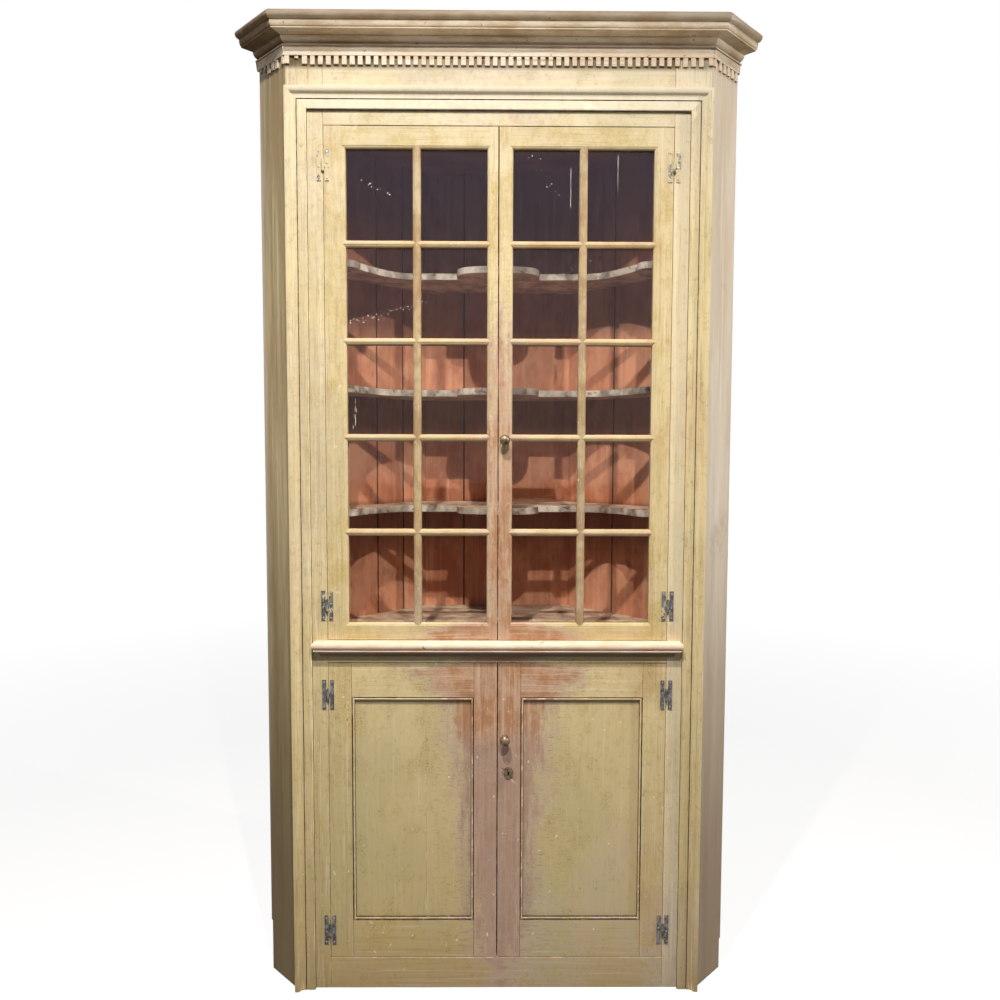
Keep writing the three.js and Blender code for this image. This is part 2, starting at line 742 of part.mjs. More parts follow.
// Panelled doors: two stiles, two rails and a flat panel loose in their grooves
function panelledDoor(name, toward, fitted) {
  const group = doorGroup(toward, lowerDoorFoot);
  const left = hingeGap + panelDoorStile;
  const right = meetingEdge - panelDoorStile;
  const foot = panelDoorBottomRail;
  const top = lowerDoorHeight - panelDoorTopRail;
  const opening = stickingPocket(toward, left, right, foot, top);
  const grooveBack = stickingDepth + panelThickness + 2 * fit;
  const groove = doorBlock(
    toward,
    [left - panelGroove, stickingDepth, foot - panelGroove],
    [right + panelGroove, grooveBack, top + panelGroove],
  );
  const members = {
    hinge_stile: [[hingeGap, 0], [left, lowerDoorHeight]],
    meeting_stile: [[right, 0], [meetingEdge, lowerDoorHeight]],
    top_rail: [[left + fit, top], [right - fit, lowerDoorHeight]],
    bottom_rail: [[left + fit, 0], [right - fit, foot]],
  };
  for (const [member, [[across0, z0], [across1, z1]]] of Object.entries(members)) {
    let wood = doorBlock(toward, [across0, 0, z0], [across1, doorThickness, z1]);
    wood = wood.subtract(opening).subtract(groove);
    if (fitted && member === 'meeting_stile') {
      const keyhole = faceSolid(keyholeShape(), -overrun, doorThickness + overrun);
      keyhole.translate(toward * (meetingEdge - lockInset), 0, lockRise);
      wood = wood.subtract(solidOf(keyhole));
      wood = wood.subtract(spindleHole(toward, lowerKnobInset, lowerKnobRise));
    }
    piece(group, `${name}_${member}`, geometryOf(wood), facePaint());
  }
  const panel = new THREE.BoxGeometry(
    right - left + 2 * (panelGroove - fit),
    panelThickness,
    top - foot + 2 * (panelGroove - fit),
  );
  const middle = [
    (toward * (left + right)) / 2,
    stickingDepth + fit + panelThickness / 2,
    (foot + top) / 2,
  ];
  piece(group, `${name}_panel`, panel, facePaint(), middle);
  return group;
}

const doors = {
  left_upper: glazedDoor('left_glazed_door', 1, leftSashHingeStile, leftSashMeetingStile, false),
  right_upper: glazedDoor('right_glazed_door', -1, rightSashHingeStile, rightSashMeetingStile, true),
  left_lower: panelledDoor('left_panel_door', 1, false),
  right_lower: panelledDoor('right_panel_door', -1, true),
};

// H hinges. The door's leaf carries the middle of the knuckle, bored for the pin, and the
// frame's leaf carries both ends of the knuckle and the pin.
const pinDepth = -(fit + knuckleRadius);
const knucklePart = knuckleHeight / 3;
function hingeLeaf(direction, segments) {
  const strip = block(
    [direction * leafStart, -fit - leafThickness, -hingeHeight / 2],
    [direction * (leafStart + leafWidth), -fit, hingeHeight / 2],
  );
  let leaf = solidOf(strip);
  for (const [z0, z1] of segments) {
    const arm = block([0, -fit - leafThickness, z0], [direction * (leafStart + leafThickness), -fit, z1]);
    leaf = leaf.add(solidOf(arm)).add(solidOf(post(knuckleRadius, z0, z1).translate(0, pinDepth, 0)));
  }
  return leaf;
}
function frameLeaf(direction) {
  const ends = [
    [-knuckleHeight / 2, -knucklePart / 2 - fit],
    [knucklePart / 2 + fit, knuckleHeight / 2],
  ];
  const pinTop = knuckleHeight / 2 + pinHeadHeight;
  const pin = post(pinRadius, -pinTop, pinTop).translate(0, pinDepth, 0);
  const head = post(pinHeadRadius, knuckleHeight / 2 - fit, pinTop).translate(0, pinDepth, 0);
  return geometryOf(hingeLeaf(direction, ends).add(solidOf(pin)).add(solidOf(head)));
}
function doorLeaf(direction) {
  const bore = post(pinRadius + boreClearance, -knucklePart, knucklePart).translate(0, pinDepth, 0);
  const middle = [[-knucklePart / 2, knucklePart / 2]];
  return geometryOf(hingeLeaf(direction, middle).subtract(solidOf(bore)));
}
for (const [name, group] of Object.entries(doors)) {
  const toward = name.startsWith('left') ? 1 : -1;
  const upper = name.endsWith('upper');
  const rises = {
    bottom: upper ? upperHingeFromFoot : lowerHingeFromFoot,
    top: upper ? upperDoorHeight - upperHingeFromTop : lowerDoorHeight - lowerHingeFromTop,
  };
  for (const [place, rise] of Object.entries(rises)) {
    const onFrame = [group.position.x, 0, group.position.z + rise];
    const onDoor = [0, 0, rise];
    piece(caseGroup, `${name}_${place}_hinge_frame_leaf`, frameLeaf(-toward), iron(), onFrame);
    piece(group, `${name}_${place}_hinge_door_leaf`, doorLeaf(toward), iron(), onDoor);
  }
}

// Knobs on the right-hand doors: one turning, from the rose to the spindle's inner end, with
// the latch tongue across it behind the door
function latchKnob() {
  const inner = -(doorThickness + fit + tongueThickness);
  const outline = [
    [0, inner],
    [spindleRadius, inner],
    [spindleRadius, fit],
    [knobBaseRadius, fit],
    [knobBaseRadius, knobBaseHeight],
    [knobNeckRadius, knobNeckStart],
    ...arc([0, knobReach - knobBallHalfDepth], [knobRadius, knobBallHalfDepth], -55, 90),
  ];
  const profile = outline.map(([radius, out]) => new THREE.Vector2(radius, out));
  const turning = new THREE.LatheGeometry(profile, roundSides).rotateX(Math.PI);
  const tongue = block(
    [-tongueWidth / 2, doorThickness + fit, -tongueLength],
    [tongueWidth / 2, doorThickness + fit + tongueThickness, tongueWidth / 2],
  );
  return geometryOf(solidOf(turning).add(solidOf(tongue)));
}
const rightKnobs = {
  upper_latch_knob: [doors.right_upper, upperKnobInset, upperKnobRise],
  lower_latch_knob: [doors.right_lower, lowerKnobInset, lowerKnobRise],
};
for (const [name, [group, inset, rise]] of Object.entries(rightKnobs)) {
  piece(group, name, latchKnob(), brass(), [-(meetingEdge - inset), 0, rise]);
}

// Rim lock on the lower right door: an oval escutcheon outside, a case with a bolt inside
const lockAcross = -(meetingEdge - lockInset);
const plate = new THREE.Shape();
plate.absellipse(0, 0, escutcheonWidth / 2, escutcheonHeight / 2, 0, 2 * Math.PI, false, 0);
plate.holes.push(keyholeOutline(0));
const escutcheon = faceSolid(plate, -fit - escutcheonThickness, -fit);
piece(doors.right_lower, 'keyhole_escutcheon', escutcheon, brass(), [lockAcross, 0, lockRise]);

const caseFront = doorThickness + fit;
const caseEdge = -(meetingEdge - boltRecess);
const boltDepth = caseFront + (lockCaseDepth - boltThickness) / 2;
const bolt = block(
  [caseEdge + boltLength, boltDepth, -boltHeight / 2],
  [caseEdge, boltDepth + boltThickness, boltHeight / 2],
);
const channel = block(
  [caseEdge + boltLength + lockWall, boltDepth - fit, -boltHeight / 2 - fit],
  [caseEdge - overrun, boltDepth + boltThickness + fit, boltHeight / 2 + fit],
);
const housing = block(
  [caseEdge, caseFront, -lockCaseHeight / 2],
  [caseEdge + lockCaseLength, caseFront + lockCaseDepth, lockCaseHeight / 2],
);
const keyway = faceSolid(keyholeShape(), 0, boltDepth).translate(lockAcross, 0, 0);
const lockCase = solidOf(housing).subtract(solidOf(channel)).subtract(solidOf(keyway));
piece(doors.right_lower, 'lock_case', geometryOf(lockCase), iron(), [0, 0, lockRise]);
piece(doors.right_lower, 'lock_bolt', bolt, iron(), [0, 0, lockRise]);

cupboard.position.y = -middleDepth;

export default cupboard;
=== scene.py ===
import math

import bmesh
import bpy
from mathutils import Matrix, Vector, noise


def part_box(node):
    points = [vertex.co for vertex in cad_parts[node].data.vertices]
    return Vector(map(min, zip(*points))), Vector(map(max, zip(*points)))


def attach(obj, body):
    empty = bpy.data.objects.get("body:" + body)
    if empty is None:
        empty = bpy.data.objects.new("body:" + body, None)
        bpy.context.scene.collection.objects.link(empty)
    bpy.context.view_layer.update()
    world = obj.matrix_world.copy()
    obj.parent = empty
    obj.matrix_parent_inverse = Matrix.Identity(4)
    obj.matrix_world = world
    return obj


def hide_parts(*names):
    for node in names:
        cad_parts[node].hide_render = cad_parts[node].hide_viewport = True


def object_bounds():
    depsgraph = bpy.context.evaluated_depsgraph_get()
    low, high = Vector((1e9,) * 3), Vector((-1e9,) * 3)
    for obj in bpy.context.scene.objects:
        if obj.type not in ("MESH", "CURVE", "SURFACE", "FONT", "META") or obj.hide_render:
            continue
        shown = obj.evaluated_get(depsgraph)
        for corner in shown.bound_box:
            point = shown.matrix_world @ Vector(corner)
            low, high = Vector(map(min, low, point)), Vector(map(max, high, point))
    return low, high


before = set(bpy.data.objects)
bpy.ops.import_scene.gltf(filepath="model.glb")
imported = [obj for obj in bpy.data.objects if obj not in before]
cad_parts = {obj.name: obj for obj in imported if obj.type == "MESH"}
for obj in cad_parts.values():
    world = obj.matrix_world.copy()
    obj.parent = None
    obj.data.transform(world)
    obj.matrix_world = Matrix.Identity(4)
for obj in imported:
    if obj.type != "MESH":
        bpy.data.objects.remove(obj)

cad_low, cad_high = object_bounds()

# Camera. It stands where the photograph was taken from: at eye height, square to the front
# and tilted down a little.
eye = Vector((-0.00876, -2.10982, 1.31544))
tilt_down, turn_left, lean = 0.0617, -0.0071, -0.0031
focal_pixels, image_pixels, sensor_width = 815.43, 1000, 36
level_right = Vector((math.cos(turn_left), math.sin(turn_left), 0))
level_ahead = Vector((-math.sin(turn_left), math.cos(turn_left), 0))
straight_up = Vector((0, 0, 1))
ahead = level_ahead * math.cos(tilt_down) - straight_up * math.sin(tilt_down)
above = level_ahead * math.sin(tilt_down) + straight_up * math.cos(tilt_down)
image_right = level_right * math.cos(lean) - above * math.sin(lean)
image_up = level_right * math.sin(lean) + above * math.cos(lean)
camera = bpy.data.objects.new("camera", bpy.data.cameras.new("camera"))
camera.data.sensor_width = sensor_width
camera.data.lens = sensor_width * focal_pixels / image_pixels
facing = Matrix((image_right, image_up, -ahead)).transposed().to_4x4()
camera.matrix_world = Matrix.Translation(eye) @ facing
bpy.context.scene.collection.objects.link(camera)
bpy.context.scene.camera = camera

# Room. A pale floor that turns white with distance, and a white surround. Two ceiling lamps
# throw the shelves' outlines onto the cupboard's walls, and one lamp at each side fills.
bpy.context.scene.view_settings.view_transform = "Standard"
half_round = 180
lamps = {
    "high_lamp": ((0.30, -2.19, 3.40), 58, 160),
    "near_lamp": ((-0.27, -1.34, 3.15), 34, 120),
    "right_lamp": ((3.0, -1.0, 2.3), 38, half_round),
    "left_lamp": ((-3.0, -1.0, 2.3), 9, half_round),
}
lamp_size, lamp_tint = 0.05, (1, 0.95, 0.88)
side_lamp_target = Vector((0, 0, 1.25))
ambient_strength, mirrored_tint = 0.06, (0.88, 0.78, 1.0, 1)
horizon_rise, sky_rise, horizon_glow = 0.08, 0.3, 0.1
floor_reach, floor_matt, mirrored_glow = 30, 0.22, 0.05
glow_near, glow_far, near_glow, far_glow = 2.0, 5.0, 0.86, 1.0


def wire(tree, kind, inputs=(), out=0, **settings):
    """Adds a node and returns one of its outputs. Its inputs are values or other outputs."""
    node = tree.nodes.new(kind)
    for name, value in settings.items():
        setattr(node, name, value)
    for name, value in dict(inputs).items():
        if isinstance(value, bpy.types.NodeSocket):
            tree.links.new(value, node.inputs[name])
        else:
            node.inputs[name].default_value = value
    return node.outputs[out] if node.outputs else node


def calc(operation, first, second=0.0):
    """Arithmetic on two values, one of them at least a node's output."""
    output = first if isinstance(first, bpy.types.NodeSocket) else second
    inputs = {0: first, 1: second}
    return wire(output.id_data, "ShaderNodeMath", inputs, operation=operation)


def times(first, *others):
    for other in others:
        first = calc("MULTIPLY", first, other)
    return first


def axis(place, number):
    return wire(place.id_data, "ShaderNodeSeparateXYZ", {0: place}, number)


def new_finish(name):
    """A bare material, and the object's own coordinates in its node tree."""
    material = bpy.data.materials.new(name)
    material.use_nodes = True
    material.node_tree.nodes.clear()
    return material, wire(material.node_tree, "ShaderNodeTexCoord", out="Object")


def unscattered(seen, ray):
    """Leaves out what is seen by way of a matt surface."""
    return times(seen, calc("LESS_THAN", ray["Diffuse Depth"], 0.5))


world = bpy.data.worlds.new("surround")
world.use_nodes = True
bpy.context.scene.world = world
tree = world.node_tree
tree.nodes.clear()
ray = wire(tree, "ShaderNodeLightPath").node.outputs
rise = axis(wire(tree, "ShaderNodeTexCoord", out="Generated"), 2)
inputs = {"Value": rise, 1: horizon_rise, 2: sky_rise, 3: horizon_glow, 4: 1.0}
mirrored = times(wire(tree, "ShaderNodeMapRange", inputs), ray["Is Glossy Ray"])
seen = calc("MAXIMUM", ray["Is Camera Ray"], mirrored)
seen = unscattered(calc("MAXIMUM", seen, ray["Is Transmission Ray"]), ray)
strength = calc("ADD", times(seen, 1 - ambient_strength), ambient_strength)
tint = wire(tree, "ShaderNodeMixRGB", {0: mirrored, 1: (1, 1, 1, 1), 2: mirrored_tint})
surround = wire(tree, "ShaderNodeBackground", {"Color": tint, "Strength": strength})
wire(tree, "ShaderNodeOutputWorld", {"Surface": surround})

for name, (position, power, beam) in lamps.items():
    data = bpy.data.lights.new(name, "AREA")
    data.shape = "DISK"
    data.size = lamp_size
    data.energy = power
    data.color = lamp_tint
    data.spread = math.radians(beam)
    lamp = bpy.data.objects.new(name, data)
    lamp.location = position
    if beam == half_round:
        beam_way = side_lamp_target - lamp.location
        lamp.rotation_euler = beam_way.to_track_quat("-Z", "Y").to_euler()
    bpy.context.scene.collection.objects.link(lamp)

ground = bpy.data.meshes.new("floor")
corners = [(x * floor_reach, y * floor_reach, 0) for x, y in ((-1, -1), (1, -1), (1, 1), (-1, 1))]
ground.from_pydata(corners, [], [(0, 1, 2, 3)])
floor = bpy.data.objects.new("floor", ground)
bpy.context.scene.collection.objects.link(floor)
pale_floor, spot = new_finish("pale_floor")
tree = pale_floor.node_tree
ray = wire(tree, "ShaderNodeLightPath").node.outputs
matt = wire(tree, "ShaderNodeBsdfDiffuse", {"Color": (floor_matt, floor_matt, floor_matt, 1)})
away = wire(tree, "ShaderNodeVectorMath", {0: spot}, "Value", operation="LENGTH")
inputs = {"Value": away, 1: glow_near, 2: glow_far, 3: near_glow, 4: far_glow}
glow = wire(tree, "ShaderNodeMapRange", inputs)
glow = wire(tree, "ShaderNodeEmission", {"Color": (1, 1, 1, 1), "Strength": glow})
lit = wire(tree, "ShaderNodeAddShader", {0: matt, 1: glow})
through = times(ray["Is Transmission Ray"], calc("LESS_THAN", ray["Glossy Depth"], 0.5))
seen = calc("MAXIMUM", ray["Is Camera Ray"], times(ray["Is Glossy Ray"], mirrored_glow))
seen = unscattered(calc("MAXIMUM", through, seen), ray)
shown = wire(tree, "ShaderNodeMixShader", {0: seen, 1: matt, 2: lit})
wire(tree, "ShaderNodeOutputMaterial", {"Surface": shown})
floor.data.materials.append(pale_floor)

# Face frame. Two full-height stiles and three rails of one-inch pine, planed by hand and
# painted many times: cream and mustard over salmon, worn back to the salmon near the latches.
arris_ease, cut_spacing, hand_wander, wander_per_metre = 0.0012, 0.025, 0.00022, 11
sharp_arris, sharp_shading, flat_joint = math.radians(40), math.radians(50), math.radians(1)
weld_reach, relief_strength, looks_that_way = 0.00002, 0.6, 0.5
wander_seed = 4
noise.seed_set(wander_seed)
cupboard_height = cad_high.z
inward = Vector((0, 1, 0))
side_ways = Vector((1, 0, 0))
# Darker towards the bottom: partly the paint's own tone, partly painted shade where the lamps'
# light falls off. The dark top band is painted shade, with dirt, on the frieze behind the teeth and
# under the fascia.
cream_and_painted_shade_by_height = {
    0.00: (184, 160, 118),
    0.06: (202, 180, 132),
    0.34: (224, 205, 158),
    0.55: (228, 209, 162),
    0.78: (229, 212, 165),
    0.955: (233, 221, 191),
    0.9575: (76, 58, 40),
    1.00: (76, 58, 40),
}
salmon_middle = 0.006
salmon_reach_by_height = {
    0.00: 0.010, 0.06: 0.060, 0.14: 0.078, 0.26: 0.100, 0.310: 0.125, 0.345: 0.205,
    0.356: 0.060, 0.376: 0.200, 0.392: 0.120, 0.402: 0.036, 0.60: 0.036, 0.68: 0.018,
    0.80: -0.06, 1.00: -0.20,
}


def colour(red, green, blue):
    """A colour named as it looks, from 0 to 255, in the shader's own linear values."""
    shares = [channel / 255 for channel in (red, green, blue)]
    return tuple(s / 12.92 if s < 0.04 else ((s + 0.055) / 1.055) ** 2.4 for s in shares) + (1,)


def cloud(place, per_metre, detail=5, roughness=0.62, offset=0.0):
    """Noise with so many features a metre along X, Y and Z."""
    settings = {"Vector": place, "Location": (offset, offset, offset), "Scale": per_metre}
    moved = wire(place.id_data, "ShaderNodeMapping", settings)
    inputs = {"Vector": moved, "Scale": 1.0, "Detail": detail, "Roughness": roughness}
    return wire(place.id_data, "ShaderNodeTexNoise", inputs)


def span(value, low, high, most=1.0, least=0.0):
    """From least to most where value passes from low to high, smoothly and no further."""
    inputs = {"Value": value, 1: low, 2: high, 3: least, 4: most}
    return wire(value.id_data, "ShaderNodeMapRange", inputs, interpolation_type="SMOOTHSTEP")


def coats(under, *layers):
    """Coats laid over the first one, each with its share from 0 to 1. A coat is a colour or a
    node's output."""
    for share, over in layers:
        under, over = (
            value if isinstance(value, bpy.types.NodeSocket) else colour(*value)
            for value in (under, over)
        )
        inputs = {0: share, 6: under, 7: over}
        under = wire(share.id_data, "ShaderNodeMix", inputs, 2, data_type="RGBA")
    return under


def by_height(place, stops):
    """A ramp up the cupboard: colours, or plain numbers, by the share of its height."""
    share = calc("DIVIDE", axis(place, 2), cupboard_height)
    ramp = wire(place.id_data, "ShaderNodeValToRGB", {0: share})
    elements = ramp.node.color_ramp.elements
    while len(elements) < len(stops):
        elements.new(1.0)
    for element, (share, value) in zip(elements, sorted(stops.items())):
        element.position = share
        element.color = colour(*value) if isinstance(value, tuple) else (value, value, value, 1)
    return ramp


def marked(place, label):
    return wire(place.id_data, "ShaderNodeAttribute", out="Fac", attribute_name=label)


def worn_arris(place, share):
    """Where the paint is rubbed off the rounded arrises."""
    rub = span(cloud(place, (38, 38, 38), 4, 0.7), 0.47, 0.62)
    return times(marked(place, "arris"), rub, share)


def settle(material, base, roughness, height=None, depth=0.0, specular=0.5, metallic=0.0):
    """Ends a material with its shader: colour, gloss and a relief of some depth."""
    tree = material.node_tree
    inputs = {"Base Color": base, "Roughness": roughness, "Specular IOR Level": specular}
    inputs["Metallic"] = metallic
    if height is not None:
        relief = {"Height": height, "Distance": depth, "Strength": relief_strength}
        inputs["Normal"] = wire(tree, "ShaderNodeBump", relief)
    surface = wire(tree, "ShaderNodeBsdfPrincipled", inputs)
    wire(tree, "ShaderNodeOutputMaterial", {"Surface": surface})
    return material


def old_paint(name, grain, mustard=0.35, haze=0.35, salmon=1.0, age=0.5, brushed=1.0, wash_and_painted_light=None):
    """Cream and mustard paint over salmon. grain is X on rails and Z on stiles.
    wash_and_painted_light is a colour laid thinly over it, and its share: a wash of paint, and on
    the architrave's head a pale one that is painted light."""
    material, place = new_finish(name)
    level = grain == "X"
    broad = cloud(place, (3.1, 3.1, 2.2), 4, 0.55)
    brush = cloud(place, (3, 110, 110) if level else (110, 110, 3), 5, 0.72)
    fine = cloud(place, (9, 420, 420) if level else (420, 420, 9), 3, 0.7, 21.0)
    patch = cloud(place, (15, 15, 10), 10, 0.74, 3.0)
    mottle = cloud(place, (75, 75, 60), 6, 0.7, 5.0)
    rubbed = cloud(place, (22, 70, 60) if level else (60, 70, 14), 8, 0.74, 7.0)
    drift = cloud(place, (4.3, 4.3, 2.6), 3, 0.5, 31.0)
    body = coats(
        by_height(place, cream_and_painted_shade_by_height),
        (times(span(patch, 0.46, 0.60), mustard), (210, 184, 112)),
        (span(drift, 0.50, 0.62, 0.45 * age), (186, 178, 132)),
        (span(drift, 0.47, 0.36, 0.40 * age), (196, 158, 122)),
        (span(mottle, 0.52, 0.70, 0.4), (160, 136, 92)),
        (span(brush, 0.53, 0.72, 0.6 * brushed), (248, 238, 218)),
        (span(brush, 0.46, 0.28, 0.5 * brushed), (158, 132, 92)),
        (span(fine, 0.50, 0.28, 0.36 * brushed), (112, 88, 56)),
    )
    if wash_and_painted_light:
        body = coats(body, (span(patch, 0.40, 0.56, wash_and_painted_light[1], wash_and_painted_light[1] * 0.5), wash_and_painted_light[0]))
    mist = times(span(broad, 0.50, 0.66), haze, span(mottle, 0.36, 0.54))
    reach = by_height(place, {share: r + 0.5 for share, r in salmon_reach_by_height.items()})
    from_middle = calc("ABSOLUTE", calc("SUBTRACT", axis(place, 0), salmon_middle))
    edge = calc("SUBTRACT", calc("SUBTRACT", reach, from_middle), 0.5)
    edge = calc("ADD", edge, times(calc("SUBTRACT", rubbed, 0.5), 0.21))
    fog = times(span(edge, -0.045, 0.0), 0.65 * salmon, span(mottle, 0.36, 0.56, least=0.25))
    bare = times(span(edge, -0.012, 0.034), salmon, span(mottle, 0.34, 0.46, least=0.72))
    checks = span(cloud(place, (50, 50, 330), 4, 0.72, 13.0), 0.56, 0.66)
    checks = times(checks, span(edge, -0.13, -0.02), 0.55 * age * salmon)
    under = coats(
        (182, 134, 98),
        (span(patch, 0.42, 0.58), (204, 166, 140)),
        (span(brush, 0.48, 0.66, 0.6), (220, 194, 172)),
        (span(brush, 0.46, 0.34, 0.5), (158, 116, 84)),
        (span(fine, 0.48, 0.30, 0.5), (128, 86, 58)),
        (span(axis(place, 2), 0.66, 0.58, 0.6), (178, 154, 142)),
    )
    net = wire(place.id_data, "ShaderNodeMapping", {"Vector": place, "Scale": (210, 210, 150)})
    inputs = {"Vector": net, "Scale": 1.0}
    cells = wire(place.id_data, "ShaderNodeTexVoronoi", inputs, feature="DISTANCE_TO_EDGE")
    cracks = times(span(cells, 0.05, 0.0), span(patch, 0.50, 0.60, age * 0.75))
    nicks = span(cloud(place, (170, 170, 110), 5, 0.7, 11.0), 0.66, 0.73)
    nicks = times(nicks, age, span(broad, 0.42, 0.60, least=0.2))
    chips = span(cloud(place, (72, 72, 52), 3, 0.6, 17.0), 0.69, 0.73)
    # Dirt and painted shade in the marked quirks, hollows and glazing edges.
    dirt_and_shade = times(marked(place, "dirt_and_shade"), span(mottle, 0.30, 0.50, 0.95, 0.6))
    body = coats(
        body, (mist, (200, 188, 178)), (fog, (196, 172, 160)), (checks, (118, 92, 66)),
        (bare, under), (worn_arris(place, 0.9), (238, 210, 186)), (cracks, (122, 98, 60)),
        (nicks, (92, 70, 44)), (times(chips, age), (240, 228, 206)), (dirt_and_shade, (62, 42, 28)),
    )
    roughness = calc("SUBTRACT", span(brush, 0.3, 0.7, 0.68, 0.50), times(bare, 0.14))
    height = calc("SUBTRACT", times(brush, 0.45), times(cracks, 0.5))
    height = calc("SUBTRACT", height, times(bare, 0.25))
    height = calc("ADD", height, times(patch, 0.35))
    return settle(material, body, roughness, height, depth=0.0009, specular=0.3)


def bare_pine(name, body):
    """Unpainted pine, browned by age, with its grain and a saw's marks."""
    material, place = new_finish(name)
    figure = cloud(place, (55, 55, 1.6), 6, 0.6)
    stain = cloud(place, (5, 5, 3), 6, 0.65, 5.0)
    inputs = {"Vector": place, "Scale": 60.0, "Distortion": 3.0, "Detail": 2.0}
    saw = wire(place.id_data, "ShaderNodeTexWave", inputs, 1, bands_direction="Z")
    red, green, blue = body
    wood = coats(
        (red * 0.66, green * 0.6, blue * 0.54),
        (span(figure, 0.38, 0.62), body),
        (span(stain, 0.52, 0.68, 0.55), (104, 80, 58)),
        (span(saw, 0.7, 1.0, 0.12), (196, 168, 130)),
    )
    return settle(material, wood, 0.78, figure, depth=0.0012, specular=0.25)


def cut_through(shape, point, toward, **how):
    everything = shape.verts[:] + shape.edges[:] + shape.faces[:]
    bmesh.ops.bisect_plane(shape, geom=everything, plane_co=point, plane_no=toward, **how)


def worked(name, shape, spacing=cut_spacing, wander=hand_wander, low=cad_low):
    """Turns a bmesh into an object: cut across its length so that its arrises can wander, and
    kept in the cupboard's box, from low up."""
    span_of = [[v.co[i] for v in shape.verts] for i in range(3)]
    lengths = [max(values) - min(values) for values in span_of]
    longest = lengths.index(max(lengths))
    square = Vector([1.0 if i == longest else 0.0 for i in range(3)])
    count = int(lengths[longest] / spacing) if spacing else 0
    for i in range(1, count):
        point = square * (min(span_of[longest]) + lengths[longest] * i / count)
        cut_through(shape, point, square)
    for vertex in shape.verts:
        moved = vertex.co + noise.noise_vector(vertex.co * wander_per_metre) * wander
        limits = zip(moved, low, cad_high)
        vertex.co = Vector([min(max(value, least), most) for value, least, most in limits])
    mesh = bpy.data.meshes.new(name)
    shape.to_mesh(mesh)
    shape.free()
    mesh.shade_smooth()
    mesh.set_sharp_from_angle(angle=sharp_shading)
    made = bpy.data.objects.new(name, mesh)
    bpy.context.scene.collection.objects.link(made)
    flat = made.modifiers.new("flat_faces", "WEIGHTED_NORMAL")
    flat.keep_sharp = True
    evaluated = made.evaluated_get(bpy.context.evaluated_depsgraph_get())
    made.data = bpy.data.meshes.new_from_object(evaluated)
    made.data.name = name
    made.modifiers.remove(flat)
    return made


def eased(shape, ease):
    """Rounds a shape's sharp arrises and marks them as worn."""
    layer = shape.faces.layers.float.new("arris")
    sharp = [e for e in shape.edges if e.is_manifold and e.calc_face_angle() > sharp_arris]
    rounded = bmesh.ops.bevel(
        shape, geom=sharp, offset=ease, segments=2, profile=0.5, affect="EDGES",
        clamp_overlap=True,
    )
    for face in rounded["faces"]:
        face[layer] = 1.0


def from_frame(node, name, ease=arris_ease, keep=(), **how):
    """The node's own shape, its arrises rounded and a little uneven, as a plane leaves them.
    Only what lies beyond each plane of keep, a point and a direction, is kept."""
    shape = bmesh.new()
    shape.from_mesh(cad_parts[node].data)
    bmesh.ops.remove_doubles(shape, verts=shape.verts, dist=weld_reach)
    bmesh.ops.dissolve_limit(
        shape, angle_limit=flat_joint, verts=shape.verts, edges=shape.edges,
    )
    for point, toward in keep:
        cut_through(shape, point, toward, clear_inner=True)
        bmesh.ops.holes_fill(shape, edges=[e for e in shape.edges if e.is_boundary], sides=0)
    eased(shape, ease)
    return worked(name, shape, **how)


def paint_faces(made, front, others=None, toward=inward):
    """Gives front to all faces, and others to those that look toward a direction."""
    made.data.materials.clear()
    made.data.materials.append(front)
    if others is not None:
        made.data.materials.append(others)
        for polygon in made.data.polygons:
            if polygon.normal.dot(toward) > looks_that_way:
                polygon.material_index = 1


def mark(made, label, where):
    """Marks the faces where dirt and painted shade lie or paint is rubbed, told by centre and
    normal.
    """
    layer = made.data.attributes.get(label) or made.data.attributes.new(label, "FLOAT", "FACE")
    for polygon in made.data.polygons:
        if where(polygon.center, polygon.normal):
            layer.data[polygon.index].value = 1.0


rail_paint = old_paint("rail_paint", "X", mustard=0.20, haze=0.42, brushed=0.55)
face_paints = {
    "left_face_stile": old_paint("left_stile_paint", "Z", mustard=0.22, haze=0.30),
    "right_face_stile": old_paint(
        "right_stile_paint", "Z", mustard=0.10, haze=0.40, wash_and_painted_light=((244, 232, 208), 0.45),
    ),
    "base_rail": rail_paint,
    "waist_rail": rail_paint,
    "frieze_rail": rail_paint,
}
raw_inside = bare_pine("raw_inside_pine", (168, 134, 98))
for node, paint in face_paints.items():
    board = from_frame(node, node + "_board")
    paint_faces(board, paint, raw_inside)
    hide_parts(node)
    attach(board, "case")

# Return boards. One board on each side runs back from the front to the wall, mitred to the
# stile. The left one is streaked brown and darker, the right one paler: partly their paint,
# partly painted shade on the left and painted light on the right. Both darken towards the
# foot, painted shade, and both are rubbed at the wall.
rubbed_from, rubbed_to = -0.135, -0.108


def streaked_paint(name, body, dark, pale, foot):
    material, place = new_finish(name)
    brush = cloud(place, (85, 85, 2.2), 6, 0.7)
    wide = cloud(place, (16, 16, 1.6), 5, 0.65, 4.0)
    patch = cloud(place, (8, 8, 5), 7, 0.7, 9.0)
    near_wall = span(axis(place, 1), rubbed_from, rubbed_to)
    layer = coats(
        dark,
        (span(wide, 0.36, 0.64), body),
        (span(brush, 0.50, 0.70, 0.75), pale),
        (span(patch, 0.55, 0.68, 0.4), (190, 158, 132)),
        (times(near_wall, span(brush, 0.38, 0.55), 0.8), (224, 208, 192)),
        # Darker towards the foot: painted shade.
        (span(axis(place, 2), 1.3, 0.2, 0.8), foot),
        (worn_arris(place, 0.75), (220, 196, 168)),
    )
    return settle(material, layer, 0.62, calc("ADD", brush, patch), depth=0.0009, specular=0.3)


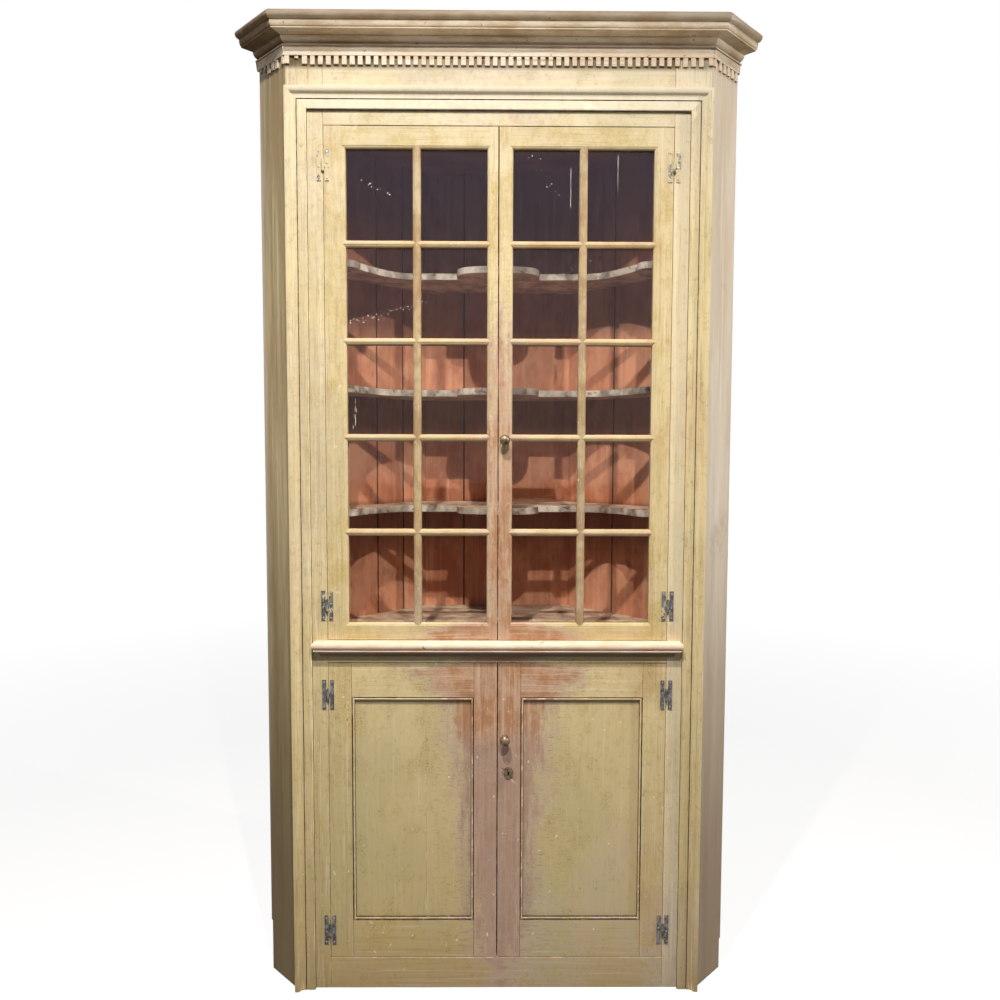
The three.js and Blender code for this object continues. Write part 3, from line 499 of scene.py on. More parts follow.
return_paints = {
    "left_return_board": (Vector((1, 1, 0)), streaked_paint(
        "left_return_paint", (212, 194, 152), (172, 152, 112), (226, 210, 174), (124, 104, 74),
    )),
    "right_return_board": (Vector((-1, 1, 0)), streaked_paint(
        "right_return_paint", (236, 224, 206), (216, 200, 176), (244, 236, 222), (160, 138, 112),
    )),
}
for node, (hidden_way, paint) in return_paints.items():
    board = from_frame(node, node + "_piece")
    paint_faces(board, paint, raw_inside, hidden_way.normalized())
    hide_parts(node)
    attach(board, "case")

# Wall boards and back. Wide pine boards set up side by side on loose tongues, salmon inside
# and left raw where they stand against the room's walls.
board_ease, seam_inset = 0.0016, 0.0057
tongue_reach, tongue_half, tongue_ease = 0.005, 0.0022, 0.0005
tongue_levels = (0.001, 0.75, 1.5, cad_high.z - 0.025)
back_seam = Vector((-0.096, 0.243, 0))
wallward_left = Vector((-1, 1, 0)).normalized()
wallward_right = Vector((1, 1, 0)).normalized()


def salmon_paint(name, painted_shade_and_tone):
    """Salmon paint. painted_shade_and_tone gives the share of a dark brown over it by height:
    painted shadow on the walls, an even darker tone on the door backs.
    """
    material, place = new_finish(name)
    brush = cloud(place, (60, 60, 2.4), 6, 0.68)
    patch = cloud(place, (7, 7, 4), 7, 0.68, 2.0)
    stain = cloud(place, (26, 26, 9), 5, 0.7, 8.0)
    layer = coats(
        (200, 128, 96),
        (span(patch, 0.38, 0.62), (236, 170, 136)),
        (span(brush, 0.52, 0.72, 0.5), (246, 198, 168)),
        (span(brush, 0.46, 0.30, 0.3), (140, 82, 58)),
        (span(stain, 0.60, 0.70, 0.4), (116, 70, 50)),
        (by_height(place, {z / cupboard_height: s for z, s in painted_shade_and_tone.items()}), (78, 50, 46)),
        (marked(place, "arris"), (52, 32, 24)),
    )
    return settle(material, layer, 0.66, brush, depth=0.0008, specular=0.25)


def lofted(sections, closed=False):
    """A skin over rings of points. A ring of one point is a tip; wider ends are capped."""
    shape = bmesh.new()
    rings = [[shape.verts.new(point) for point in section] for section in sections]
    for near, far in zip(rings, rings[1:] + rings[:1] if closed else rings[1:]):
        count = max(len(near), len(far))
        for k in range(count):
            m = (k + 1) % count
            square = [near[k % len(near)], near[m % len(near)]]
            square += [far[m % len(far)], far[k % len(far)]]
            shape.faces.new(list(dict.fromkeys(square)))
    for end in () if closed else (rings[0], list(reversed(rings[-1]))):
        if len(end) > 1:
            shape.faces.new(end)
    bmesh.ops.recalc_face_normals(shape, faces=shape.faces)
    return shape


# Painted shadow in a band under each shelf, and painted shade at the top of the cupboard.
wall_salmon = salmon_paint("wall_salmon", {
    1.02: 0.1, 1.08: 0.5, 1.165: 0.6, 1.18: 0.0, 1.34: 0.0, 1.38: 0.6, 1.47: 0.6, 1.485: 0.0,
    1.61: 0.0, 1.65: 0.5, 1.77: 0.5, 1.79: 0.1, 1.95: 0.6, 2.05: 0.7,
})
raw_back = bare_pine("raw_back_pine", (156, 124, 90))
outward = {"left": wallward_left, "right": wallward_right, "back": inward}
wall_nodes = sorted(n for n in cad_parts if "wall_board" in n)
for node in wall_nodes + ["back_board_1", "back_board_2"]:
    board = from_frame(node, node + "_plank", ease=board_ease)
    paint_faces(board, wall_salmon, raw_back, outward[node.split("_")[0]])
    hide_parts(node)
    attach(board, "case")
seams = [("back_board_1", back_seam, side_ways)]
for node in ("left_wall_board_1", "left_wall_board_2", "right_wall_board_1"):
    low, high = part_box(node)
    side = -1 if node.startswith("left") else 1
    end_x = high.x if side < 0 else low.x
    seam = Vector((end_x + side * seam_inset, high.y - seam_inset, 0))
    seams.append((node, seam, Vector((-side, 1, 0)).normalized()))
for node, seam, along_wall in seams:
    wide, thick = along_wall * tongue_reach, along_wall.cross(straight_up) * tongue_half
    corners = [seam + wide * a + thick * t for a, t in ((-1, -1), (1, -1), (1, 1), (-1, 1))]
    shape = lofted([[c + straight_up * level for c in corners] for level in tongue_levels])
    eased(shape, tongue_ease)
    loose_tongue = worked(node + "_seam_tongue", shape)
    paint_faces(loose_tongue, raw_back)
    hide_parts(node)
    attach(loose_tongue, "case")
ceiling = from_frame("top_board", "ceiling_plank")
paint_faces(ceiling, wall_salmon, raw_back, straight_up)
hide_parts("top_board")
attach(ceiling, "case")

# Shelves. Three shaped shelves let into the walls, with a lobe at each end and a tongue in
# the middle, and the plain boards under them. Their front edges are worn to grey-white.
shelf_ease, shelf_wander = 0.0028, 0.0005
shelf_nodes = ("bottom_board", "lower_shelf", "waist_deck")
shelf_nodes += ("upper_shelf_1", "upper_shelf_2", "upper_shelf_3")
worn_shelf, place = new_finish("worn_shelf")
fibres = cloud(place, (2.5, 60, 60), 6, 0.65)
patch = cloud(place, (16, 16, 16), 7, 0.7, 6.0)
wear = cloud(place, (40, 40, 60), 5, 0.7, 3.0)
normal = wire(place.id_data, "ShaderNodeNewGeometry", out="Normal")
flat = coats(
    (166, 132, 108),
    (span(patch, 0.40, 0.62), (214, 188, 164)),
    (span(fibres, 0.45, 0.32, 0.6), (96, 68, 50)),
)
edge = coats(
    (176, 160, 148),
    (span(patch, 0.42, 0.60), (226, 212, 200)),
    (span(wear, 0.54, 0.62, 0.8), (126, 96, 78)),
    (span(wear, 0.38, 0.32, 0.6), (138, 138, 128)),
)
layer = coats(edge, (span(calc("ABSOLUTE", axis(normal, 2)), 0.35, 0.8), flat))
settle(worn_shelf, layer, 0.7, calc("ADD", fibres, wear), depth=0.001, specular=0.25)
for node in shelf_nodes:
    shelf = from_frame(node, node + "_plank", ease=shelf_ease, wander=shelf_wander)
    paint_faces(shelf, worn_shelf)
    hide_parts(node)
    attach(shelf, "case")

# Cornice. Moulded in four lengths of pine, mitred where the front meets the two returns and
# spliced right of the middle. Its cream paint has gone grey and pink, and darker towards its top.
moulding_ease = 0.0009
mitre_angle = math.radians(22.5)
front_corner = Vector((0.489, -0.189, 0))
left_corner = Vector((-front_corner.x, front_corner.y, 0))
mitre_right = Vector((math.cos(mitre_angle), math.sin(mitre_angle), 0))
mitre_left = Vector((-mitre_right.x, mitre_right.y, 0))
splice = Vector((0.074, 0, 0))
cornice_lengths = {
    "cornice_left_return": [(left_corner, mitre_left)],
    "cornice_front_left": [(left_corner, -mitre_left), (splice, -side_ways)],
    "cornice_front_right": [(splice, side_ways), (front_corner, -mitre_right)],
    "cornice_right_return": [(front_corner, mitre_right)],
}


def greyed_paint(name, dark, pale, dirt_and_shade, streaks=0.5, under=0.3):
    """Greyed cream. dirt_and_shade gives, from the foot up, its share of dark over the paint by
    height: dirt, and painted shadow under an overhang. under is the share of painted shade on
    faces that look down.
    """
    material, place = new_finish(name)
    brush = cloud(place, (3, 60, 90), 6, 0.68)
    patch = cloud(place, (9, 9, 30), 7, 0.7, 5.0)
    spots = cloud(place, (60, 60, 60), 3, 0.55, 1.0)
    normal = wire(place.id_data, "ShaderNodeNewGeometry", out="Normal")
    layer = coats(
        dark,
        (span(patch, 0.38, 0.62), pale),
        (span(brush, 0.46, 0.32, streaks), (150, 124, 92)),
        (span(brush, 0.56, 0.72, 0.6), (240, 226, 206)),
        (span(spots, 0.68, 0.74, 0.8), (84, 62, 42)),
        # Faces that look down are darkened: painted shade.
        (span(axis(normal, 2), -0.3, -0.9, under), (118, 92, 62)),
        (worn_arris(place, 0.6), (226, 202, 178)),
        (by_height(place, {z / cupboard_height: s for z, s in dirt_and_shade.items()}), (74, 52, 34)),
    )
    return settle(material, layer, 0.6, calc("ADD", brush, patch), depth=0.0009, specular=0.3)


cornice_paint = greyed_paint(
    "cornice_paint", (208, 184, 152), (238, 222, 198),
    {2.233: 0.0, 2.2665: 0.0, 2.2675: 0.06, 2.270: 0.46, 2.286: 0.54},
    streaks=0.25, under=0.0,
)
# The left return's copy is darker all over and on its undersides: painted shade, as little light
# reaches that side.
painted_shade_cornice = greyed_paint(
    "painted_shade_cornice", (150, 124, 94), (184, 158, 124), {2.233: 0.25, 2.286: 0.25}, under=0.2,
)
for name, keep in cornice_lengths.items():
    length = from_frame("cornice", name, ease=moulding_ease, keep=keep)
    paint_faces(length, painted_shade_cornice if name == "cornice_left_return" else cornice_paint)
    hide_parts("cornice")
    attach(length, "case")

# Dentil course. A fascia with a fillet on top, in three mitred lengths, and a row of sawn
# teeth glued under it, none quite like the next. Some at the left corner have broken off.
fillet_top, fillet_height, fascia_height, tooth_height = 2.2325, 0.0035, 0.020, 0.020
fillet_proud, fascia_proud, tooth_proud, fixing_gap = 0.010, 0.006, 0.005, 0.0003
tooth_width, tooth_pitch, front_teeth, return_teeth = 0.011, 0.0181, 52, 5
tooth_ease, tooth_overlap, first_return_tooth = 0.0009, 0.0006, 0.029
front_end_tooth, return_end_tooth = 0.0052, 0.0042
whole, front_end_size, return_end_size = (1, 1, 1), (0.9, 1, 0.9), (0.72, 1, 0.9)
stump_size, stump_turn, first_broken, broken_size = (0.8, 0.8, 0.35), (0, 0.1, 0), 3, (0.7, 0.9)
broken_height, broken_step = 0.55, 0.2
teeth_seed, teeth_sizes, teeth_turns = 5, (0.07, 0, 0.045), (0, 0.02, 0)
return_run, face_plane = 0.1148, -0.189
planed_ease, rounded_from, least_round, side_share = 0.0008, math.radians(35), 0.0001, 0.45
tooth_top = fillet_top - fillet_height - fascia_height
fascia_outline = [
    (fixing_gap, tooth_top),
    (fascia_proud, tooth_top),
    (fascia_proud, tooth_top + fascia_height),
    (fillet_proud, tooth_top + fascia_height),
    (fillet_proud, fillet_top),
    (fixing_gap, fillet_top),
]


def softened(points, radius):
    """A closed outline with its corners rounded, and which of its sides are worn arrises."""
    area = sum(a[0] * b[1] - b[0] * a[1] for a, b in zip(points, points[1:] + points[:1]))
    outline, worn = [], []
    for i, point in enumerate(points):
        corner = Vector(point)
        before = Vector(points[i - 1]) - corner
        after = Vector(points[(i + 1) % len(points)]) - corner
        reach = min(radius, before.length * side_share, after.length * side_share)
        if math.pi - before.angle(after) < rounded_from or reach < least_round:
            outline.append(tuple(corner))
            worn.append(False)
            continue
        into = corner + before.normalized() * reach
        out = corner + after.normalized() * reach
        middle = (into + out + corner * 2) / 4
        convex = (-before.x * after.y + before.y * after.x) * area > 0
        outline += [tuple(into), tuple(middle), tuple(out)]
        worn += [convex, convex, False]
    return outline, worn


def run(name, outline, start, along, across, depth, length, cut_start=None, cut_end=None,
        ease=planed_ease):
    """A moulding planed along its length: outline points are across and deep. A cut gives, for
    a point of the outline, how far short of the end the wood stops there."""
    points, worn = softened(outline, ease)
    shape = bmesh.new()
    layer = shape.faces.layers.float.new("arris")
    count = max(1, int(length / cut_spacing))
    rings = []
    for i in range(count + 1):
        ring = []
        for a, d in points:
            near = cut_start(a, d) if cut_start else 0.0
            far = length - (cut_end(a, d) if cut_end else 0.0)
            place = start + along * (near + (far - near) * i / count) + across * a + depth * d
            ring.append(shape.verts.new(place))
        rings.append(ring)
    for low, high in zip(rings, rings[1:]):
        for j, is_worn in enumerate(worn):
            k = (j + 1) % len(points)
            face = shape.faces.new((low[j], low[k], high[k], high[j]))
            face[layer] = 1.0 if is_worn else 0.0
    caps = [shape.faces.new(list(reversed(rings[0]))), shape.faces.new(rings[-1])]
    bmesh.ops.triangulate(shape, faces=caps)
    bmesh.ops.recalc_face_normals(shape, faces=shape.faces)
    return worked(name, shape, spacing=0)


def open_mitre(a, d):
    return -a * math.tan(mitre_angle)


outward_left = Vector((-1, -1, 0)).normalized()
outward_right = Vector((1, -1, 0)).normalized()
fascias = {
    "left": (left_corner, wallward_left, outward_left, return_run, None),
    "front": (left_corner, side_ways, -inward, 2 * front_corner.x, open_mitre),
    "right": (front_corner, wallward_right, outward_right, return_run, None),
}
# Faces that look down, the teeth's undersides among them, are darkened: painted shadow.
dentil_paint = greyed_paint(
    "dentil_paint", (222, 200, 172), (244, 232, 212), {2.19: 0.0, 2.229: 0.0}, under=0.7,
)
for name, (start, along, out, length, cut_end) in fascias.items():
    fascia = run(
        "dentil_fascia_" + name, fascia_outline, start, along, out, straight_up, length,
        open_mitre, cut_end,
    )
    paint_faces(fascia, dentil_paint)
    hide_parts("dentil_course")
    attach(fascia, "case")


def copies_tree():
    """Geometry Nodes: a copy of a part on each point, turned and sized a little at random."""
    tree = bpy.data.node_groups.new("scattered_copies", "GeometryNodeTree")
    sockets = {
        "Points": "NodeSocketGeometry", "Part": "NodeSocketObject",
        "Size Spread": "NodeSocketVector", "Turn Spread": "NodeSocketVector",
        "Seed": "NodeSocketInt", "Finish": "NodeSocketMaterial",
    }
    for label, kind in sockets.items():
        tree.interface.new_socket(label, in_out="INPUT", socket_type=kind)
    tree.interface.new_socket("Copies", in_out="OUTPUT", socket_type="NodeSocketGeometry")
    given = wire(tree, "NodeGroupInput").node.outputs
    part = wire(tree, "GeometryNodeObjectInfo", {"Object": given["Part"]}, "Geometry")
    varied = {}
    for label, spread, shift in (("size", "Size Spread", 0), ("facing", "Turn Spread", 7)):
        own = wire(
            tree, "GeometryNodeInputNamedAttribute", {"Name": label}, data_type="FLOAT_VECTOR",
        )
        seed = wire(tree, "ShaderNodeMath", {0: given["Seed"], 1: shift})
        inputs = {0: given[spread], 1: (-1, -1, -1)}
        least = wire(tree, "ShaderNodeVectorMath", inputs, operation="MULTIPLY")
        inputs = {0: least, 1: given[spread], "Seed": seed}
        chance = wire(tree, "FunctionNodeRandomValue", inputs, data_type="FLOAT_VECTOR")
        varied[label] = wire(tree, "ShaderNodeVectorMath", {0: own, 1: chance}, operation="ADD")
    rotation = wire(tree, "FunctionNodeEulerToRotation", {0: varied["facing"]})
    copies = wire(tree, "GeometryNodeInstanceOnPoints", {
        "Points": given["Points"], "Instance": part, "Rotation": rotation, "Scale": varied["size"],
    })
    real = wire(tree, "GeometryNodeRealizeInstances", {0: copies})
    inputs = {"Geometry": real, "Material": given["Finish"]}
    wire(tree, "NodeGroupOutput", {"Copies": wire(tree, "GeometryNodeSetMaterial", inputs)})
    return tree


copies = copies_tree()


def scattered(name, part, points, finish, seed, sizes=(0, 0, 0), turns=(0, 0, 0)):
    """Copies of a part at points: each is a place, a turn about X, Y and Z, and a size. The
    Geometry Nodes tree runs once, and the plain mesh that it makes is kept."""
    mesh = bpy.data.meshes.new(name)
    mesh.from_pydata([place for place, facing, size in points], [], [])
    for label, column in (("facing", 1), ("size", 2)):
        attribute = mesh.attributes.new(label, "FLOAT_VECTOR", "POINT")
        for i, point in enumerate(points):
            attribute.data[i].vector = point[column]
    made = bpy.data.objects.new(name, mesh)
    bpy.context.scene.collection.objects.link(made)
    modifier = made.modifiers.new(copies.name, "NODES")
    modifier.node_group = copies
    values = {
        "Part": part, "Size Spread": sizes, "Turn Spread": turns, "Seed": seed, "Finish": finish,
    }
    for item in copies.interface.items_tree:
        if item.name in values:
            modifier[item.identifier] = values[item.name]
    bpy.context.view_layer.update()
    evaluated = made.evaluated_get(bpy.context.evaluated_depsgraph_get())
    made.data = bpy.data.meshes.new_from_object(evaluated)
    made.data.name = name
    made.modifiers.remove(modifier)
    return made


tooth_shape = bmesh.new()
bmesh.ops.create_cube(tooth_shape, size=1)
for vertex in tooth_shape.verts:
    vertex.co = Vector((
        vertex.co.x * tooth_width,
        -(vertex.co.y + 0.5) * tooth_proud,
        (vertex.co.z - 0.5) * tooth_height + tooth_overlap,
    ))
bmesh.ops.recalc_face_normals(tooth_shape, faces=tooth_shape.faces)
eased(tooth_shape, tooth_ease)
below_floor = Vector((-1, -1, -1))
tooth = worked("dentil_tooth", tooth_shape, spacing=0, wander=0, low=below_floor)
unturned = (0, 0, 0)
teeth = []
for i in range(front_teeth):
    across = (i - (front_teeth - 1) / 2) * tooth_pitch
    teeth.append(((across, face_plane, tooth_top), unturned, whole))
teeth[0] = (teeth[0][0], stump_turn, stump_size)
for side, corner, wallward in ((-1, left_corner, wallward_left), (1, front_corner, wallward_right)):
    turn = (0, 0, side * math.pi / 4)
    for i in range(return_teeth):
        place = corner + wallward * (first_return_tooth + i * tooth_pitch)
        size = whole
        if side < 0 and i >= first_broken:
            size = broken_size + (broken_height - broken_step * (i - first_broken),)
        teeth.append(((place.x, place.y, tooth_top), turn, size))
    front_place = corner + Vector((-side * front_end_tooth, 0, tooth_top))
    teeth.append((tuple(front_place), unturned, front_end_size))
    back_place = corner + wallward * return_end_tooth + straight_up * tooth_top
    teeth.append((tuple(back_place), turn, return_end_size))
row = scattered(
    "dentil_teeth", tooth, teeth, dentil_paint, teeth_seed, teeth_sizes, teeth_turns,
)
bpy.data.objects.remove(tooth)
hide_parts("dentil_course")
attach(row, "case")

# Architrave. A run of moulding round the doorways, mitred at its two top corners: a cyma, a
# quirk and a flat band, in the paint of the face frame.
trim_corner = Vector((-0.4885, 0, 2.138))
other_corner = Vector((-trim_corner.x, 0, trim_corner.z))
mitre_down = Vector((-1, 0, -1)).normalized()
mitre_down_right = Vector((1, 0, -1)).normalized()
middle = Vector((0, 0, 0))
hollow_foot, quirk_foot = -0.196, -0.1975
upright_trim_paint = old_paint("architrave_paint", "Z", mustard=0.12, haze=0.25, salmon=0.0)
# Its pale wash brightens the head's mouldings: painted light.
level_trim_paint = old_paint(
    "architrave_head_paint", "X", mustard=0.12, haze=0.25, salmon=0.0, brushed=0.5,
    wash_and_painted_light=((252, 242, 220), 0.7),
)
head_keep = [(trim_corner, -mitre_down), (other_corner, -mitre_down_right)]
architrave_lengths = {
    "left": ([(trim_corner, mitre_down), (middle, -side_ways)], upright_trim_paint),
    "head": (head_keep, level_trim_paint),
    "right": ([(other_corner, mitre_down_right), (middle, side_ways)], upright_trim_paint),
}
for name, (keep, paint) in architrave_lengths.items():
    length = from_frame("architrave", "architrave_" + name, ease=moulding_ease, keep=keep)
    # Painted shade, with dirt, in the quirk and on the step down from the band to the frame.
    mark(length, "dirt_and_shade", lambda at, facing: (
        at.y > hollow_foot or (at.y > quirk_foot and abs(facing.y) < 0.5)
    ))
    paint_faces(length, paint)
    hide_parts("architrave")
    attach(length, "case")

# Waist moulding. A nosing and a cove, planed in one length, returned on itself at both ends
# and nailed over the joint between the upper and the lower case. Hands have worn it pink.
# The cove under the nosing is darkened: painted shadow from the nosing. Faces that look down are a
# little darker too: painted shade.
waist_paint = greyed_paint(
    "waist_paint", (236, 202, 174), (250, 228, 204),
    {0.823: 0.72, 0.8365: 0.85, 0.8380: 0.3, 0.8395: 0.0}, streaks=0.1, under=0.1,
)
nosing = from_frame("waist_moulding", "waist_nosing")
paint_faces(nosing, waist_paint)
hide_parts("waist_moulding")
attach(nosing, "case")

# Glazed doors. Each sash is two stiles, two rails, an upright bar and eight short bars, all
# planed with the same ovolo. The short bars are coped over the upright and tenoned to the stiles.
door_foot, door_head = 0.8625, 2.0555
bottom_rail_height, top_rail_height = 0.041, 0.050
rows, columns = 5, 2
bar_width, cross_bar_width = 0.019, 0.0165
door_thickness, bar_depth, web = 0.022, 0.012, 0.007
ovolo_width, ovolo_foot, ovolo_fillet, ovolo_steps, rebate = 0.0065, 0.007, 0.001, 6, 0.007
dirt_and_shade_from, dirt_and_shade_to, behind_ovolo = 0.0078, bar_depth + 0.0003, bar_depth + 0.0001
hinge_edge, meeting_edges = 0.4035, 0.00125
sashes = {
    "left_glazed_door": (-1, 0.050, 0.025, "left_upper_door"),
    "right_glazed_door": (1, 0.044, 0.032, "right_upper_door"),
}


def ovolo_reach(deep):
    """How far the ovolo stands out from its sight line, seen at some depth behind the face."""
    if deep <= ovolo_fillet:
        return ovolo_width
    if deep <= ovolo_foot:
        share = 1 - (deep - ovolo_fillet) / (ovolo_foot - ovolo_fillet)
        return ovolo_width * (1 - math.sqrt(max(0.0, 1 - share * share)))
    return 0.0


def ovolo_points(sight):
    """The ovolo from the face down to the glass, with its sight line at sight."""
    points = [(sight - ovolo_width, 0.0), (sight - ovolo_width, ovolo_fillet)]
    for i in range(1, ovolo_steps + 1):
        turn = math.pi / 2 * i / ovolo_steps
        out = ovolo_width * (1 - math.sin(turn))
        deep = ovolo_fillet + (ovolo_foot - ovolo_fillet) * (1 - math.cos(turn))
        points.append((sight - out, deep))
    return points + [(sight, bar_depth)]


def edge_outline(width):
    """A stile or rail, from its outer edge at 0 to its sight line at width."""
    points = [(0.0, door_thickness), (0.0, 0.0)] + ovolo_points(width)
    return points + [(width - rebate, bar_depth), (width - rebate, door_thickness)]


def bar_outline(width):
    right = ovolo_points(width / 2) + [(web / 2, bar_depth), (web / 2, door_thickness)]
    left = [(-a, d) for a, d in reversed(right)]
    return left + right


def to_edge(a, d):
    """Where a bar or rail ends against a stile, measured past the stile's sight line."""
    return -rebate if d > behind_ovolo else -ovolo_reach(d)


def to_bar(a, d):
    return web / 2 if d > behind_ovolo else bar_width / 2 - ovolo_reach(d)


inner_salmon = salmon_paint("door_back_paint", {0.0: 0.2, 1.0: 0.2})
sash_stile_paint = old_paint(
    "sash_stile_paint", "Z", mustard=0.6, haze=0.2, wash_and_painted_light=((204, 180, 128), 0.3),
)
sash_rail_paint = old_paint(
    "sash_rail_paint", "X", mustard=0.6, haze=0.2, wash_and_painted_light=((206, 184, 128), 0.5),
)
upright_bar_paint = old_paint(
    "upright_bar_paint", "Z", mustard=0.3, haze=0.5, age=0.8, wash_and_painted_light=((166, 134, 98), 0.85),
)
cross_bar_paint = old_paint(
    "cross_bar_paint", "X", mustard=0.3, haze=0.5, age=0.8, wash_and_painted_light=((204, 174, 134), 0.75),
)
height = door_head - door_foot
low_sight, high_sight = door_foot + bottom_rail_height, door_head - top_rail_height
pane_height = (high_sight - low_sight - cross_bar_width * (rows - 1)) / rows
openings = {}
for door, (side, hinge_stile, meeting_stile, body) in sashes.items():
    inner_way = side_ways * -side
    hinge_line = Vector((side * hinge_edge, face_plane, 0))
    meeting_foot = Vector((side * meeting_edges, face_plane, door_foot))
    opening_width = hinge_edge - meeting_edges - hinge_stile - meeting_stile
    pane_width = (opening_width - bar_width * (columns - 1)) / columns
    bar_length = pane_width + bar_width / 2
    foot, head, sill = (straight_up * z for z in (door_foot, door_head, low_sight))
    rail_start = hinge_line + inner_way * hinge_stile
    bar_at = rail_start + inner_way * bar_length
    cross_outline = bar_outline(cross_bar_width)
    members = {
        "hinge_stile": (
            edge_outline(hinge_stile), hinge_line + foot, straight_up, inner_way, height,
            None, None, sash_stile_paint,
        ),
        "meeting_stile": (
            edge_outline(meeting_stile), meeting_foot, straight_up, -inner_way, height,
            None, None, sash_stile_paint,
        ),
        "bottom_rail": (
            edge_outline(bottom_rail_height), rail_start + foot, inner_way, straight_up,
            opening_width, to_edge, to_edge, sash_rail_paint,
        ),
        "top_rail": (
            edge_outline(top_rail_height), rail_start + head, inner_way, -straight_up,
            opening_width, to_edge, to_edge, sash_rail_paint,
        ),
        "upright_bar": (
            bar_outline(bar_width), bar_at + sill, straight_up, inner_way,
            high_sight - low_sight, to_edge, to_edge, upright_bar_paint,
        ),
    }
    for i in range(1, rows):
        at = straight_up * (low_sight + i * pane_height + (i - 0.5) * cross_bar_width)
        members[f"outer_bar_{i}"] = (
            cross_outline, rail_start + at, inner_way, straight_up, bar_length,
            to_edge, to_bar, cross_bar_paint,
        )
        members[f"inner_bar_{i}"] = (
            cross_outline, bar_at + at, inner_way, straight_up, bar_length,
            to_bar, to_edge, cross_bar_paint,
        )
    for part, (outline, start, along, across, length, cut_start, cut_end, paint) in members.items():
        member = run(
            f"{door}_{part}", outline, start, along, across, inward, length, cut_start, cut_end,
        )
        # Painted shade, with dirt, on the faces beside the glass, at the foot of the ovolo.
        mark(member, "dirt_and_shade", lambda at, facing: (
            dirt_and_shade_from < at.y - face_plane < dirt_and_shade_to and abs(facing.y) < 0.5
        ))
        paint_faces(member, paint, inner_salmon)
        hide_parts(door + "_sash")
        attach(member, body)
    openings[door] = (body, [])
    for column in range(columns):
        first = rail_start + inner_way * (column * (pane_width + bar_width))
        low_x, high_x = sorted((first.x, (first + inner_way * pane_width).x))
        for i in range(rows):
            low_z = low_sight + i * (pane_height + cross_bar_width)
            openings[door][1].append((low_x, low_z, high_x, low_z + pane_height))

# Panes. Twenty small sheets of old blown glass, a little wavy, bedded against the bars and
# held by putty bevelled from the bar's web down onto the glass.
glass_front, glass_thickness, glass_entry = 0.0123, 0.002, 0.0052
glass_bow, bows_across, bows_up, bow_step = 0.00025, 14, 9, 3.1
pane_columns, pane_rows = 8, 10
glass_tint, glass_gloss, glass_index = (0.97, 0.98, 0.97, 1), 0.03, 1.36
putty_entry, putty_rise, putty_lap, putty_wander = rebate - 0.0012, 0.0063, 0.0002, 0.0003
putty_cuts = 3
glass, place = new_finish("old_glass")
tree = glass.node_tree
sheet = wire(tree, "ShaderNodeBsdfPrincipled", {
    "Base Color": glass_tint, "Roughness": glass_gloss, "IOR": glass_index,
    "Transmission Weight": 1.0,
})
clear = wire(tree, "ShaderNodeBsdfTransparent", {"Color": glass_tint})
ray = wire(tree, "ShaderNodeLightPath").node.outputs
open_inside = wire(tree, "ShaderNodeMixShader", {0: ray["Is Diffuse Ray"], 1: sheet, 2: clear})
mixed = wire(tree, "ShaderNodeMixShader", {0: ray["Is Shadow Ray"], 1: open_inside, 2: clear})
wire(tree, "ShaderNodeOutputMaterial", {"Surface": mixed})
putty, place = new_finish("old_putty")
crumbs = cloud(place, (120, 120, 120), 5, 0.7)
shade = coats((176, 160, 132), (span(crumbs, 0.4, 0.6), (206, 194, 168)))
settle(putty, shade, 0.8, crumbs, depth=0.0008)


def bordered(low, high, count):
    """Even steps from one edge of a sheet to the other, let in beyond its opening."""
    whole_width = high - low + 2 * glass_entry
    return [low - glass_entry + whole_width * k / count for k in range(count + 1)]


for door, (body, opened) in openings.items():
    for i, (low_x, low_z, high_x, high_z) in enumerate(opened):
        shape = bmesh.new()
        sheets = []
        for deep in (glass_front, glass_front + glass_thickness):
            sheet = {}
            for m, x in enumerate(bordered(low_x, high_x, pane_columns)):
                for n, z in enumerate(bordered(low_z, high_z, pane_rows)):
                    wave = Vector((x * bows_across, i * bow_step, z * bows_up))
                    bow = noise.noise(wave) * glass_bow
                    at_edge = m in (0, pane_columns) or n in (0, pane_rows)
                    y = face_plane + deep + (0 if at_edge else bow)
                    sheet[m, n] = shape.verts.new((x, y, z))
            sheets.append(sheet)
        for m in range(pane_columns):
            for n in range(pane_rows):
                square = ((m, n), (m + 1, n), (m + 1, n + 1), (m, n + 1))
                for sheet in sheets:
                    shape.faces.new([sheet[corner] for corner in square])
        rim = [(m, 0) for m in range(pane_columns)]
        rim += [(pane_columns, n) for n in range(pane_rows)]
        rim += [(m, pane_rows) for m in range(pane_columns, 0, -1)]
        rim += [(0, n) for n in range(pane_rows, 0, -1)]
        for a, b in zip(rim, rim[1:] + rim[:1]):
            shape.faces.new((sheets[0][a], sheets[0][b], sheets[1][b], sheets[1][a]))
        bmesh.ops.recalc_face_normals(shape, faces=shape.faces)
        pane = worked(f"{door}_pane_{i + 1}", shape, spacing=0, wander=0)
        paint_faces(pane, glass)
        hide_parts(door + "_glass")
        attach(pane, body)
        back = face_plane + glass_front + glass_thickness
        section = [(putty_entry, back), (putty_entry, back + putty_rise), (-putty_lap, back)]
        shape = lofted([[
            (low_x - out, y, low_z - out), (high_x + out, y, low_z - out),
            (high_x + out, y, high_z + out), (low_x - out, y, high_z + out),
        ] for out, y in section], closed=True)
        bmesh.ops.subdivide_edges(shape, edges=shape.edges[:], cuts=putty_cuts, use_grid_fill=True)
        bed = worked(f"{door}_putty_{i + 1}", shape, spacing=0, wander=putty_wander)
        paint_faces(bed, putty)
        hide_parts(door + "_glass")
        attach(bed, body)

